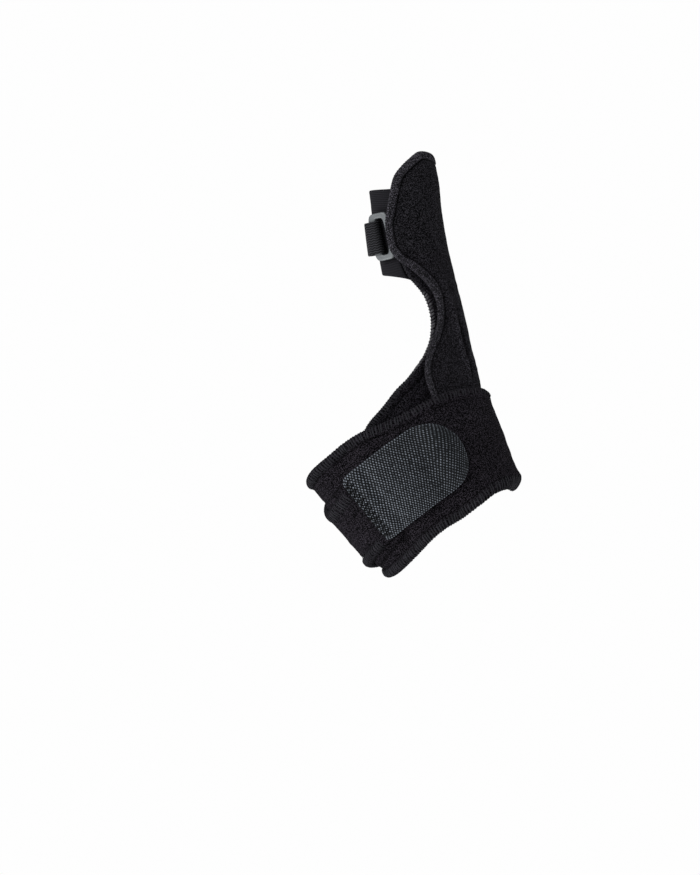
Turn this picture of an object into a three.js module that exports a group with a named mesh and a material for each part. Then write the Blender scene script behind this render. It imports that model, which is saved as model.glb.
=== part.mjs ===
// Thumb spica splint for the left hand, in the form it has when worn. Millimetres.
// The origin is the middle of the wrist hollow. +Z runs up the forearm to the hand, +X to the
// thumb side, -Y to the back of the hand.
import * as THREE from 'three';

// The form inside the splint
const WRIST_BREADTH = 61; // thumb side to little finger side
const WRIST_DEPTH = 40; // palm to back
const ROOT_OUT = 44; // the thumb's root from the wrist's middle line
const ROOT_UP = 44; // the thumb's root above the origin
const THUMB_LEAN = 29.4; // degrees away from the forearm's line
const THUMB_BREADTH = 21.3;
const THUMB_DEPTH = 21;
const THUMB_REACH = 72; // from the root to the tip
const THUMB_FORWARD = 3; // the thumb lies toward the palm

// Cloth
const SKIN_GAP = 0.4; // between the form and the first layer
const PLY_GAP = 0.35; // between two layers
const BODY_WALL = 2.3;
const BODY_ROLL = 0.4; // how far the rolled edge stands up
const PANEL_WALL = 2.5;
const PANEL_ROLL = 0.7;
const BELT_WALL = 2.4;
const BELT_ROLL = 0.4;
const TAB_WALL = 1.2;
const SLEEVE_WALL = 1.4;
const STRAP_WALL = 1.2;
const ROLL_WIDTH = 4.2; // across a rolled edge
const PANEL_ROLL_WIDTH = 3.2; // across the panel's narrower one
const FOLD_RISE = 0.9; // the soft fold beside the stay pocket
const BELT_HALF = 26; // height of the belt above and below the origin's level, nearly

// The ring and the strap through it
const RING_LENGTH = 19.6; // along the thumb
const RING_BELOW_TIP = 41; // from the thumb's tip down to the ring's lower end
const RING_TURN = 124; // degrees round the thumb, where the ring lies flat on it
const RING_BAR = 2.3; // end bars
const RING_HELD_BAR = 2.8; // the bar under the panel's edge
const RING_CARRY_BAR = 3.3; // the bar that carries the strap
const RING_WINDOW = 3.8; // across the slot
const RING_THICK = 1.6;
const STRAP_PLAY = 0.35; // strap to ring
const STRAP_SLACK = 0.9; // how far the strap's folded back end stands off at the ring's lower end

// Ribs of the wrist and the thumb's root. out, up: shares of the thumb root's place; lean: share
// of the thumb's lean; radial, ulnar: half breadths, shares of the wrist's breadth; dorsal,
// palmar: half depths, shares of its depth; forward: share of how far the thumb lies forward.
const WRIST_RIBS = [
  { out: 0, up: -0.84, lean: 0, radial: 0.37, ulnar: 0.52, dorsal: 0.525, palmar: 0.525, forward: 0 },
  { out: 0, up: -0.45, lean: 0.08, radial: 0.435, ulnar: 0.515, dorsal: 0.5, palmar: 0.5, forward: 0 },
  { out: 0, up: 0, lean: 0.24, radial: 0.542, ulnar: 0.515, dorsal: 0.49, palmar: 0.51, forward: 0 },
  { out: 0.09, up: 0.41, lean: 0.5, radial: 0.57, ulnar: 0.595, dorsal: 0.48, palmar: 0.54, forward: 0.15 },
  { out: 0.36, up: 0.66, lean: 0.76, radial: 0.475, ulnar: 0.8, dorsal: 0.45, palmar: 0.54, forward: 0.4 },
  { out: 0.68, up: 0.82, lean: 0.95, radial: 0.318, ulnar: 0.8, dorsal: 0.4, palmar: 0.48, forward: 0.75 },
];
// Ribs along the thumb. along: share of its reach; the others are shares of its breadth and depth.
const THUMB_RIBS = [
  { along: 0, radial: 0.515, ulnar: 0.66, dorsal: 0.6, palmar: 0.68 },
  { along: 0.22, radial: 0.485, ulnar: 0.55, dorsal: 0.53, palmar: 0.58 },
  { along: 0.45, radial: 0.462, ulnar: 0.52, dorsal: 0.5, palmar: 0.52 },
  { along: 0.65, radial: 0.485, ulnar: 0.505, dorsal: 0.5, palmar: 0.5 },
  { along: 0.83, radial: 0.545, ulnar: 0.455, dorsal: 0.49, palmar: 0.49 },
  { along: 1.02, radial: 0.535, ulnar: 0.46, dorsal: 0.47, palmar: 0.47 },
];
const RING_START = THUMB_REACH - RING_BELOW_TIP; // from the thumb's root
const LEVEL_RIB = 2; // the rib at the origin's level
const THUMB_RIB = WRIST_RIBS.length; // the rib at the thumb's root

// Edges on the form. rib: place between the ribs counted from the lowest; turn: degrees round
// the form, 0 at the thumb side, 90 at the back, 180 at the little finger side, -90 at the palm.
const BODY_DORSAL = [
  { rib: 1.45, turn: 100 }, { rib: 2.4, turn: 106 }, { rib: 3.15, turn: 110 }, { rib: 3.57, turn: 106.9 },
  { rib: 3.99, turn: 97.5 }, { rib: 4.42, turn: 92.3 }, { rib: 4.88, turn: 85.6 }, { rib: 5.22, turn: 80.5 },
  { rib: 5.61, turn: 79.4 }, { rib: 6.0, turn: 80.6 }, { rib: 6.43, turn: 79 }, { rib: 6.75, turn: 80 },
  { rib: 6.95, turn: 84.5 }, { rib: 7.2, turn: 95 }, { rib: 7.5, turn: 105 }, { rib: 7.9, turn: 110 },
  { rib: 8.6, turn: 108.5 }, { rib: 9.05, turn: 105 }, { rib: 9.5, turn: 97 }, { rib: 10.0, turn: 84 },
  { rib: 10.3, turn: 70 }, { rib: 10.45, turn: 54 },
];
const BODY_PALMAR = [
  { rib: 1.4, turn: -62 }, { rib: 3, turn: -70 }, { rib: 4.4, turn: -72 }, { rib: 5.5, turn: -70 },
  { rib: 6.4, turn: -66 }, { rib: 7.2, turn: -67 }, { rib: 8.3, turn: -71 }, { rib: 9.2, turn: -68 },
  { rib: 9.8, turn: -56 }, { rib: 10.15, turn: -34 },
];
const BODY_LOWER = [{ rib: 1.45, turn: 100 }, { rib: 1.3, turn: 50 }, { rib: 1.25, turn: 0 }, { rib: 1.4, turn: -62 }];
const BODY_UPPER = [{ rib: 10.45, turn: 54 }, { rib: 10.46, turn: 30 }, { rib: 10.35, turn: 0 }, { rib: 10.15, turn: -34 }];

const PANEL_DORSAL = [
  { rib: 1.6, turn: 52 }, { rib: 2.6, turn: 58 }, { rib: 3.4, turn: 61 }, { rib: 3.81, turn: 63 },
  { rib: 4.35, turn: 69.8 }, { rib: 4.78, turn: 75.2 }, { rib: 5.16, turn: 77.4 }, { rib: 5.51, turn: 76.6 },
  { rib: 5.97, turn: 74.3 }, { rib: 6.3, turn: 70.5 }, { rib: 6.55, turn: 67.5 }, { rib: 6.8, turn: 68 },
  { rib: 7.08, turn: 74.1 }, { rib: 7.33, turn: 84.3 }, { rib: 7.57, turn: 95.7 }, { rib: 7.78, turn: 107 },
  { rib: 7.98, turn: 113.9 }, { rib: 8.21, turn: 117.5 }, { rib: 8.61, turn: 117.9 }, { rib: 8.98, turn: 115.4 },
  { rib: 9.3, turn: 110 }, { rib: 9.75, turn: 104.4 }, { rib: 10.27, turn: 92.3 }, { rib: 10.56, turn: 76 },
  { rib: 10.8, turn: 55 },
];
const PANEL_PALMAR = [
  { rib: 1.6, turn: -36 }, { rib: 3.2, turn: -42 }, { rib: 4.4, turn: -50 }, { rib: 5.5, turn: -54 },
  { rib: 6.4, turn: -60 }, { rib: 7.2, turn: -72 }, { rib: 8.2, turn: -82 }, { rib: 9, turn: -82 },
  { rib: 9.6, turn: -74 }, { rib: 10.15, turn: -58 }, { rib: 10.45, turn: -34 },
];
const PANEL_LOWER = [{ rib: 1.6, turn: 52 }, { rib: 1.5, turn: 8 }, { rib: 1.6, turn: -36 }];
const PANEL_UPPER = [
  { rib: 10.8, turn: 55 }, { rib: 10.87, turn: 42 }, { rib: 10.8, turn: 24 }, { rib: 10.66, turn: 0 },
  { rib: 10.45, turn: -34 },
];
// The soft fold beside the stay pocket. rise: share of its full height
const FOLD_LINE = [
  { rib: 3.7, turn: 24.5, rise: 0.5 }, { rib: 4.24, turn: 26, rise: 0.9 }, { rib: 4.7, turn: 27.5, rise: 1 },
  { rib: 5.23, turn: 33.5, rise: 1 }, { rib: 5.63, turn: 39, rise: 1 }, { rib: 6.03, turn: 43.5, rise: 0.8 },
  { rib: 6.38, turn: 44, rise: 0.6 }, { rib: 7, turn: 47.5, rise: 0.4 }, { rib: 7.5, turn: 50, rise: 0.15 },
];

const SLEEVE_DORSAL = [
  { rib: 7.34, turn: 103.5 }, { rib: 7.5, turn: 108.5 }, { rib: 7.9, turn: 113.5 }, { rib: 8.6, turn: 112 },
  { rib: 9.05, turn: 108.5 }, { rib: 9.5, turn: 100.5 }, { rib: 9.92, turn: 90.5 },
];
const SLEEVE_PALMAR = [
  { rib: 7.12, turn: 289 }, { rib: 7.5, turn: 287 }, { rib: 8.3, turn: 285 }, { rib: 9.2, turn: 287.5 },
  { rib: 9.98, turn: 305 },
];

// The belt along its length. turn runs on past a whole circle where it laps over itself; low,
// high: its edges, shares of the belt's half height.
const BELT_COURSE = [
  { turn: 210, low: -0.87, high: 0.74 }, { turn: 180, low: -0.915, high: 0.765 },
  { turn: 156, low: -0.945, high: 0.85 }, { turn: 136, low: -0.93, high: 0.92 },
  { turn: 120, low: -0.9, high: 1.005 }, { turn: 106, low: -0.872, high: 1.045 },
  { turn: 96, low: -0.875, high: 1.045 }, { turn: 82, low: -0.915, high: 1.08 },
  { turn: 64, low: -0.927, high: 1.17 }, { turn: 49, low: -0.92, high: 1.19 },
  { turn: 34, low: -0.99, high: 1.13 }, { turn: 18, low: -1.1, high: 1.05 },
  { turn: 3, low: -1.16, high: 0.92 }, { turn: -30, low: -0.96, high: 0.82 },
  { turn: -90, low: -0.86, high: 0.72 }, { turn: -140, low: -0.8, high: 0.54 },
  { turn: -178, low: -0.63, high: 0.325 }, { turn: -198, low: -0.58, high: 0.315 },
  { turn: -216, low: -0.53, high: 0.375 }, { turn: -233, low: -0.475, high: 0.45 },
];
// The hook tab from its sewn end to its round end
const TAB_COURSE = [
  { turn: 131.8, low: -0.455, high: 0.5 }, { turn: 128, low: -0.478, high: 0.565 },
  { turn: 110, low: -0.472, high: 0.632 }, { turn: 89, low: -0.475, high: 0.725 },
  { turn: 79, low: -0.48, high: 0.775 }, { turn: 72, low: -0.478, high: 0.755 },
  { turn: 65, low: -0.435, high: 0.675 }, { turn: 59, low: -0.335, high: 0.54 },
];
const TAB_ROUND = [
  { turn: 59, level: -0.335 }, { turn: 55.1, level: -0.19 }, { turn: 53.2, level: 0.02 }, { turn: 53.1, level: 0.18 },
  { turn: 54.4, level: 0.33 }, { turn: 59, level: 0.54 },
];

const DEG = Math.PI / 180;
const mix = (a, b, t) => a + (b - a) * t;
const clamp = (x, a, b) => Math.min(Math.max(x, a), b);
const smooth = (x, a, b) => {
  const t = clamp((x - a) / (b - a), 0, 1);
  return t * t * (3 - 2 * t);
};

// The ribs with their real sizes, and the distance along the form at which each one lies
function makeRibs() {
  const ribs = WRIST_RIBS.map((r) => [
    r.out * ROOT_OUT, r.forward * THUMB_FORWARD, r.up * ROOT_UP, r.lean * THUMB_LEAN * DEG,
    r.radial * WRIST_BREADTH, r.ulnar * WRIST_BREADTH, r.dorsal * WRIST_DEPTH, r.palmar * WRIST_DEPTH,
  ]);
  for (const r of THUMB_RIBS) {
    const d = r.along * THUMB_REACH;
    ribs.push([
      ROOT_OUT + d * Math.sin(THUMB_LEAN * DEG), THUMB_FORWARD, ROOT_UP + d * Math.cos(THUMB_LEAN * DEG),
      THUMB_LEAN * DEG, r.radial * THUMB_BREADTH, r.ulnar * THUMB_BREADTH, r.dorsal * THUMB_DEPTH,
      r.palmar * THUMB_DEPTH,
    ]);
  }
  const at = [0];
  for (let i = 1; i < ribs.length; i++) {
    at.push(at[i - 1] + Math.hypot(ribs[i][0] - ribs[i - 1][0], ribs[i][2] - ribs[i - 1][2]));
  }
  const level = at[LEVEL_RIB];
  return { ribs, at: at.map((d) => d - level) };
}
const { ribs: RIBS, at: RIB_AT } = makeRibs();
const LAST = RIBS.length - 1;

// Slope of every column of the rib table at a rib
function slopeAt(i) {
  const step = (a, b) => RIBS[a].map((x, c) => (RIBS[b][c] - x) / (RIB_AT[b] - RIB_AT[a]));
  if (i === 0) return step(0, 1);
  if (i === LAST) return step(LAST - 1, LAST);
  const before = RIB_AT[i] - RIB_AT[i - 1];
  const after = RIB_AT[i + 1] - RIB_AT[i];
  const a = step(i - 1, i);
  const b = step(i, i + 1);
  return a.map((x, c) => (x * after + b[c] * before) / (before + after));
}
const SLOPES = RIBS.map((_, i) => slopeAt(i));

function ribIndex(s) {
  let i = 0;
  while (i < LAST - 1 && s >= RIB_AT[i + 1]) i++;
  return i;
}
// The rib at distance s along the form, from a smooth curve through the table
function section(s) {
  const i = ribIndex(s);
  const h = RIB_AT[i + 1] - RIB_AT[i];
  const t = clamp((s - RIB_AT[i]) / h, 0, 1);
  const [a, b, c, d] = [2 * t ** 3 - 3 * t ** 2 + 1, t ** 3 - 2 * t ** 2 + t, 3 * t ** 2 - 2 * t ** 3, t ** 3 - t ** 2];
  return RIBS[i].map((x, k) => a * x + b * h * SLOPES[i][k] + c * RIBS[i + 1][k] + d * h * SLOPES[i + 1][k]);
}
// Distance along the form of a place counted in ribs
function distance(rib) {
  const i = clamp(Math.floor(rib), 0, LAST - 1);
  return mix(RIB_AT[i], RIB_AT[i + 1], rib - i);
}
// Point of the form: a rib is made of four quarter ellipses with their own half sizes
function skin(s, turn) {
  const [x, y, z, lean, radial, ulnar, dorsal, palmar] = section(s);
  const [c, n] = [Math.cos(turn * DEG), Math.sin(turn * DEG)];
  const across = (c > 0 ? radial : ulnar) * c;
  const deep = -(n > 0 ? dorsal : palmar) * n;
  return new THREE.Vector3(x + across * Math.cos(lean), y + deep, z - across * Math.sin(lean));
}
// Point that lies a rise above the form, square to it
function over(s, turn, rise) {
  const step = 0.05;
  const along = skin(s + step, turn).sub(skin(s - step, turn));
  const round = skin(s, turn + step).sub(skin(s, turn - step));
  return skin(s, turn).addScaledVector(along.cross(round).normalize(), rise);
}

// Smooth line on the form through a table of places, walked at an even pace
function line(table) {
  const at = table.map((p) => [p.rib === undefined ? p.level * BELT_HALF : distance(p.rib), p.turn]);
  const pace = [0];
  for (let i = 1; i < at.length; i++) {
    pace.push(pace[i - 1] + skin(...at[i]).distanceTo(skin(...at[i - 1])));
  }
  const slope = (i, k) => {
    const [a, b] = [Math.max(i - 1, 0), Math.min(i + 1, at.length - 1)];
    return (at[b][k] - at[a][k]) / (pace[b] - pace[a]);
  };
  const total = pace[pace.length - 1];
  const walk = (f) => {
    const d = clamp(f, 0, 1) * total;
    let i = 0;
    while (i < at.length - 2 && d > pace[i + 1]) i++;
    const h = pace[i + 1] - pace[i];
    const t = (d - pace[i]) / h;
    return [0, 1].map((k) => (2 * t ** 3 - 3 * t ** 2 + 1) * at[i][k] + (t ** 3 - 2 * t ** 2 + t) * h * slope(i, k)
      + (3 * t ** 2 - 2 * t ** 3) * at[i + 1][k] + (t ** 3 - t ** 2) * h * slope(i + 1, k));
  };
  walk.total = total;
  return walk;
}

// Where the grid lines lie along a side: close together on the rolled edges, even between them
const EDGE_STEPS = [0, 0.1, 0.32, 0.62, 1];
const THIN_EDGE_STEPS = [0, 0.35, 1];
function spread(length, middle, roll, thin) {
  const steps = (thin ? THIN_EDGE_STEPS : EDGE_STEPS).map((e) => (e * Math.min(roll, length * 0.4)) / length);
  const first = steps[steps.length - 1];
  const inner = Array.from({ length: middle }, (_, i) => mix(first, 1 - first, (i + 1) / (middle + 1)));
  return [...steps, ...inner, ...steps.map((x) => 1 - x).reverse()];
}

// A sheet of cloth on the form. Its four edges are lines, filled in between by blending them;
// floor gives the rise of its inner face, wall its thickness and puff what it stands up more.
function cloth({ lower, upper, left, right, across, up, floor, wall, roll, thin = false, puff = () => 0 }) {
  const us = spread((lower.total + upper.total) / 2, across, roll, thin);
  const vs = spread((left.total + right.total) / 2, up, roll, thin);
  const corner = [lower(0), lower(1), upper(0), upper(1)];
  const place = (u, v) => [0, 1].map((k) => (1 - v) * lower(u)[k] + v * upper(u)[k] + (1 - u) * left(v)[k]
    + u * right(v)[k] - (1 - u) * (1 - v) * corner[0][k] - u * (1 - v) * corner[1][k]
    - (1 - u) * v * corner[2][k] - u * v * corner[3][k]);
  const grid = vs.map((v) => us.map((u) => place(u, v)));
  const base = grid.map((row) => row.map(([s, turn]) => over(s, turn, floor(s, turn))));
  const rim = [...base[0], ...base.map((row) => row[row.length - 1]), ...[...base[base.length - 1]].reverse(),
    ...base.map((row) => row[0]).reverse()];
  const toRim = (p) => {
    let best = Infinity;
    const seg = new THREE.Line3();
    const near = new THREE.Vector3();
    for (let i = 1; i < rim.length; i++) {
      seg.set(rim[i - 1], rim[i]).closestPointToPoint(p, true, near);
      best = Math.min(best, near.distanceTo(p));
    }
    return best;
  };
  const [inner, outer] = [[], []];
  grid.forEach((row, j) => row.forEach(([s, turn], i) => {
    const d = j === 0 || i === 0 || j === vs.length - 1 || i === us.length - 1 ? 0 : toRim(base[j][i]);
    const edge = 1 - clamp(d / (wall * 0.7), 0, 1);
    const blunt = mix(0.35, 1, Math.sqrt(1 - edge * edge));
    const half = (wall / 2) * blunt;
    const middle = floor(s, turn) + wall / 2;
    inner.push(over(s, turn, middle - half));
    outer.push(over(s, turn, middle + half + puff(s, turn, d)));
  }));
  return shell(inner, outer, us.length, vs.length);
}

// Closed body between two grids of the same shape
function shell(inner, outer, columns, rows) {
  const at = (i, j) => j * columns + i;
  const far = inner.length;
  const index = [];
  const quad = (a, b, c, d) => index.push(a, b, c, a, c, d);
  for (let j = 0; j < rows - 1; j++) {
    for (let i = 0; i < columns - 1; i++) {
      quad(at(i, j) + far, at(i + 1, j) + far, at(i + 1, j + 1) + far, at(i, j + 1) + far);
      quad(at(i, j), at(i, j + 1), at(i + 1, j + 1), at(i + 1, j));
    }
  }
  for (let i = 0; i < columns - 1; i++) {
    quad(at(i, 0), at(i + 1, 0), at(i + 1, 0) + far, at(i, 0) + far);
    quad(at(i + 1, rows - 1), at(i, rows - 1), at(i, rows - 1) + far, at(i + 1, rows - 1) + far);
  }
  for (let j = 0; j < rows - 1; j++) {
    quad(at(0, j + 1), at(0, j), at(0, j) + far, at(0, j + 1) + far);
    quad(at(columns - 1, j), at(columns - 1, j + 1), at(columns - 1, j + 1) + far, at(columns - 1, j) + far);
  }
  return facing([...inner, ...outer], index);
}

// Geometry whose faces look outward
function facing(points, index) {
  let volume = 0;
  for (let i = 0; i < index.length; i += 3) {
    const [a, b, c] = [points[index[i]], points[index[i + 1]], points[index[i + 2]]];
    volume += a.dot(b.clone().cross(c));
  }
  if (volume < 0) {
    for (let i = 0; i < index.length; i += 3) [index[i + 1], index[i + 2]] = [index[i + 2], index[i + 1]];
  }
  const geometry = new THREE.BufferGeometry();
  geometry.setAttribute('position', new THREE.Float32BufferAttribute(points.flatMap((p) => p.toArray()), 3));
  geometry.setIndex(index);
  geometry.computeVertexNormals();
  return geometry;
}

// Height of a rolled edge at a distance from the rim: a round bead and the stitch groove inside it
const bead = (d, width) => Math.sin(Math.PI * clamp(d / width, 0, 1)) ** 0.8;
const groove = (d, width) => Math.exp(-(((d - width) / (0.2 * width)) ** 2));

// Rises of the layers
const BODY_TOP = SKIN_GAP + BODY_WALL;
const PANEL_FLOOR = BODY_TOP + BODY_ROLL + PLY_GAP;
const PANEL_TOP = PANEL_FLOOR + PANEL_WALL;
const underBelt = (s) => 1 - smooth(s, 0.92 * BELT_HALF, 1.3 * BELT_HALF);

// The panel lifts over the ring's held bar
function lift(s, turn) {
  const start = RIB_AT[THUMB_RIB] + RING_START;
  const ease = 0.35 * RING_LENGTH;
  const along = smooth(s, start - ease, start) * (1 - smooth(s, start + RING_LENGTH, start + RING_LENGTH + ease));
  return along * smooth(turn, RING_TURN - 34, RING_TURN - 20) * (RING_THICK + 2 * STRAP_PLAY - BODY_ROLL);
}
const FOLD = FOLD_LINE.map((p) => ({ s: distance(p.rib), turn: p.turn, rise: p.rise }));
function fold(s, turn) {
  if (s < FOLD[0].s || s > FOLD[FOLD.length - 1].s) return 0;
  let i = 0;
  while (i < FOLD.length - 2 && s > FOLD[i + 1].s) i++;
  const t = (s - FOLD[i].s) / (FOLD[i + 1].s - FOLD[i].s);
  const off = turn - mix(FOLD[i].turn, FOLD[i + 1].turn, t);
  const ends = smooth(s, FOLD[0].s, FOLD[1].s) * (1 - smooth(s, FOLD[FOLD.length - 2].s, FOLD[FOLD.length - 1].s));
  const crest = Math.exp(-((off / 7) ** 2)) - 0.5 * Math.exp(-(((off + 13) / 6) ** 2));
  return FOLD_RISE * ends * mix(FOLD[i].rise, FOLD[i + 1].rise, t) * crest;
}

// Rise of the belt's inner face for a turn that runs on past the circle
const LAP = [-128, -142]; // the belt climbs on its own start between these turns
function beltFloor(turn) {
  const first = mix(SKIN_GAP, BODY_TOP + PLY_GAP, smooth(turn, 125, 108) * smooth(turn, -92, -74));
  const onPanel = PANEL_TOP + PLY_GAP - BODY_TOP - PLY_GAP;
  const rise = first + onPanel * smooth(turn, 80, 62) * smooth(turn, -62, -44);
  return rise + (BELT_WALL + BELT_ROLL + PLY_GAP) * smooth(turn, LAP[0], LAP[1]);
}

function makeBody() {
  return cloth({
    lower: line(BODY_LOWER), upper: line(BODY_UPPER), left: line(BODY_DORSAL), right: line(BODY_PALMAR),
    across: 6, up: 26, roll: ROLL_WIDTH * 0.85, wall: BODY_WALL, floor: () => SKIN_GAP,
    puff: (s, turn, d) => BODY_ROLL * (1 - underBelt(s)) * bead(d, ROLL_WIDTH * 0.85),
  });
}

function makePanel() {
  const floor = (s, turn) => PANEL_FLOOR + lift(s, turn);
  return cloth({
    lower: line(PANEL_LOWER), upper: line(PANEL_UPPER), left: line(PANEL_DORSAL), right: line(PANEL_PALMAR),
    across: 9, up: 28, roll: PANEL_ROLL_WIDTH, wall: PANEL_WALL, floor,
    puff: (s, turn, d) => (1 - underBelt(s)) * (PANEL_ROLL * (bead(d, PANEL_ROLL_WIDTH)
      - 0.4 * groove(d, PANEL_ROLL_WIDTH)) + fold(s, turn) * smooth(d, 0, PANEL_ROLL_WIDTH)),
  });
}

// Straight lines of a course: its lower and upper edge and its two ends
function courseEdges(course) {
  const edge = (side) => line(course.map((c) => ({ turn: c.turn, level: c[side] })));
  const end = (c) => line([{ turn: c.turn, level: c.low }, { turn: c.turn, level: c.high }]);
  return { lower: edge('low'), upper: edge('high'), left: end(course[0]), right: end(course[course.length - 1]) };
}

function makeBelt() {
  const end = BELT_COURSE[BELT_COURSE.length - 1].turn;
  return cloth({
    ...courseEdges(BELT_COURSE), across: 80, up: 2, roll: ROLL_WIDTH, wall: BELT_WALL,
    floor: (s, turn) => beltFloor(turn),
    puff: (s, turn, d) => BELT_ROLL * smooth(turn, end + 6, end + 14) * bead(d, ROLL_WIDTH),
  });
}

function makeTab() {
  const end = BELT_COURSE[BELT_COURSE.length - 1].turn + 360; // under the tab
  const floor = (s, turn) => {
    const low = beltFloor(turn) + BELT_WALL + PLY_GAP;
    const high = beltFloor(Math.max(turn, end) - 360) + BELT_WALL + PLY_GAP;
    return mix(low, high, smooth(turn, end - 15, end - 5));
  };
  return cloth({
    ...courseEdges(TAB_COURSE), right: line(TAB_ROUND), across: 21, up: 4, roll: TAB_WALL * 1.2, thin: true,
    wall: TAB_WALL, floor,
  });
}

function makeSleeve() {
  return cloth({
    lower: line([SLEEVE_DORSAL[0], { rib: 7.5, turn: 140 }, { rib: 7.57, turn: 195 }, { rib: 7.42, turn: 250 },
      SLEEVE_PALMAR[0]]),
    upper: line([SLEEVE_DORSAL[SLEEVE_DORSAL.length - 1], { rib: 10.04, turn: 150 }, { rib: 10.06, turn: 197 },
      SLEEVE_PALMAR[SLEEVE_PALMAR.length - 1]]),
    left: line(SLEEVE_DORSAL), right: line(SLEEVE_PALMAR),
    across: 16, up: 5, roll: SLEEVE_WALL * 1.2, thin: true, wall: SLEEVE_WALL, floor: () => SKIN_GAP,
  });
}

// The ring's own directions: along the thumb, across the ring, and away from the thumb
const THUMB_AXIS = new THREE.Vector3(Math.sin(THUMB_LEAN * DEG), 0, Math.cos(THUMB_LEAN * DEG));
const THUMB_SIDE = new THREE.Vector3(Math.cos(THUMB_LEAN * DEG), 0, -Math.sin(THUMB_LEAN * DEG));
const RING_OUT = THUMB_SIDE.clone().multiplyScalar(Math.cos(RING_TURN * DEG)).setY(-Math.sin(RING_TURN * DEG));
const RING_ACROSS = THUMB_SIDE.clone().multiplyScalar(-Math.sin(RING_TURN * DEG)).setY(-Math.cos(RING_TURN * DEG));
const STRAP_FLOOR = SKIN_GAP + SLEEVE_WALL + PLY_GAP; // the strap's inner face
const RING_HEIGHT = 0.5 * THUMB_DEPTH + STRAP_FLOOR + STRAP_WALL + STRAP_PLAY; // from the thumb's axis
function onRing(along, across, out) {
  return new THREE.Vector3(ROOT_OUT, THUMB_FORWARD, ROOT_UP).addScaledVector(THUMB_AXIS, along)
    .addScaledVector(RING_ACROSS, across).addScaledVector(RING_OUT, RING_HEIGHT + out);
}
const HELD_EDGE = -0.82 * RING_HELD_BAR; // outer edge of the held bar, across
const WINDOW_EDGE = HELD_EDGE + RING_HELD_BAR;
const CARRY_EDGE = WINDOW_EDGE + RING_WINDOW;

// Point on a rectangle with round corners, where round runs from 0, square, to 1, an ellipse
function roundRect(angle, halfLong, halfWide, round) {
  const power = 1 / (1 + 2 * (1 - round));
  const pull = (x) => Math.sign(x) * Math.abs(x) ** power;
  return [halfLong * pull(Math.cos(angle)), halfWide * pull(Math.sin(angle))];
}

function makeRing() {
  const [around, profile] = [44, 8];
  const middle = (WINDOW_EDGE + CARRY_EDGE) / 2;
  const outerMiddle = (HELD_EDGE + CARRY_EDGE + RING_CARRY_BAR) / 2;
  const outerHalf = (CARRY_EDGE + RING_CARRY_BAR - HELD_EDGE) / 2;
  const [points, index] = [[], []];
  for (let i = 0; i < around; i++) {
    const angle = ((i + 0.5) / around) * 2 * Math.PI;
    const held = Math.sin(angle) < 0; // the window is rounder, and the outside squarer, by the held bar
    const [la, wa] = roundRect(angle, RING_LENGTH / 2 - RING_BAR, RING_WINDOW / 2, held ? 0.5 : 0.12);
    const [lb, wb] = roundRect(angle, RING_LENGTH / 2, outerHalf, held ? 0.15 : 0.3);
    for (let j = 0; j < profile; j++) {
      const a = ((j + 0.5) / profile) * 2 * Math.PI;
      const t = 0.5 - 0.5 * Math.sign(Math.cos(a)) * Math.abs(Math.cos(a)) ** 0.6;
      const out = (RING_THICK / 2) * Math.sign(Math.sin(a)) * Math.abs(Math.sin(a)) ** 0.6;
      const along = RING_START + RING_LENGTH / 2 + mix(la, lb, t);
      points.push(onRing(along, mix(middle + wa, outerMiddle + wb, t), out));
      const [n, m] = [(i + 1) % around, (j + 1) % profile];
      const [p, q, r, s] = [i * profile + j, n * profile + j, n * profile + m, i * profile + m];
      index.push(p, q, r, p, r, s);
    }
  }
  return facing(points, index);
}

// The strap: from under the panel's palmar edge round the pad side, up through the ring's window,
// over the carrying bar and back round on itself. turn, rise: on the form; across, out: on the ring.
function strapPath(along) {
  const s = RIB_AT[THUMB_RIB] + along;
  const near = STRAP_FLOOR + STRAP_WALL / 2;
  const far = near + STRAP_WALL + PLY_GAP;
  const clear = STRAP_WALL / 2 + STRAP_PLAY;
  const bar = RING_THICK / 2 + clear;
  const slack = STRAP_SLACK * (1 - smooth(along, RING_START, RING_START + RING_LENGTH)); // looser lower down
  const path = [];
  for (let turn = 282; turn >= 158; turn -= 9.5) path.push(over(s, turn, near));
  const middle = CARRY_EDGE + RING_THICK / 2; // of the fold round the bar
  const hook = [];
  for (let bend = 270; bend >= 90; bend -= 22.5) {
    hook.push({ across: middle + bar * Math.cos(bend * DEG), out: bar * Math.sin(bend * DEG) });
  }
  hook.push({ across: CARRY_EDGE + RING_CARRY_BAR + 0.5 * clear, out: bar });
  for (const h of hook) path.push(onRing(along, h.across, h.out));
  for (let turn = 182; turn <= 264; turn += 8.2) {
    path.push(over(s, turn, far + 0.45 * STRAP_WALL * (1 - smooth(turn, 170, 214)) + slack));
  }
  return path;
}

function makeStrap() {
  const inset = RING_BAR + 2.4 * STRAP_PLAY; // clear of the window's round corners
  const [first, last] = [RING_START + inset, RING_START + RING_LENGTH - inset];
  const rows = [0, 0.25, 0.5, 0.75, 1].map((t) => mix(first, last, t));
  const [inner, outer] = [[], []];
  for (const along of rows) {
    const path = strapPath(along);
    path.forEach((p, i) => {
      const way = path[Math.min(i + 1, path.length - 1)].clone().sub(path[Math.max(i - 1, 0)]);
      const side = way.cross(THUMB_AXIS).normalize();
      inner.push(p.clone().addScaledVector(side, STRAP_WALL / 2));
      outer.push(p.clone().addScaledVector(side, -STRAP_WALL / 2));
    });
  }
  return shell(inner, outer, inner.length / rows.length, rows.length);
}

function piece(name, geometry, color, roughness, metalness = 0) {
  const mesh = new THREE.Mesh(geometry, new THREE.MeshStandardMaterial({ color, roughness, metalness }));
  mesh.name = name;
  return mesh;
}

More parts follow.
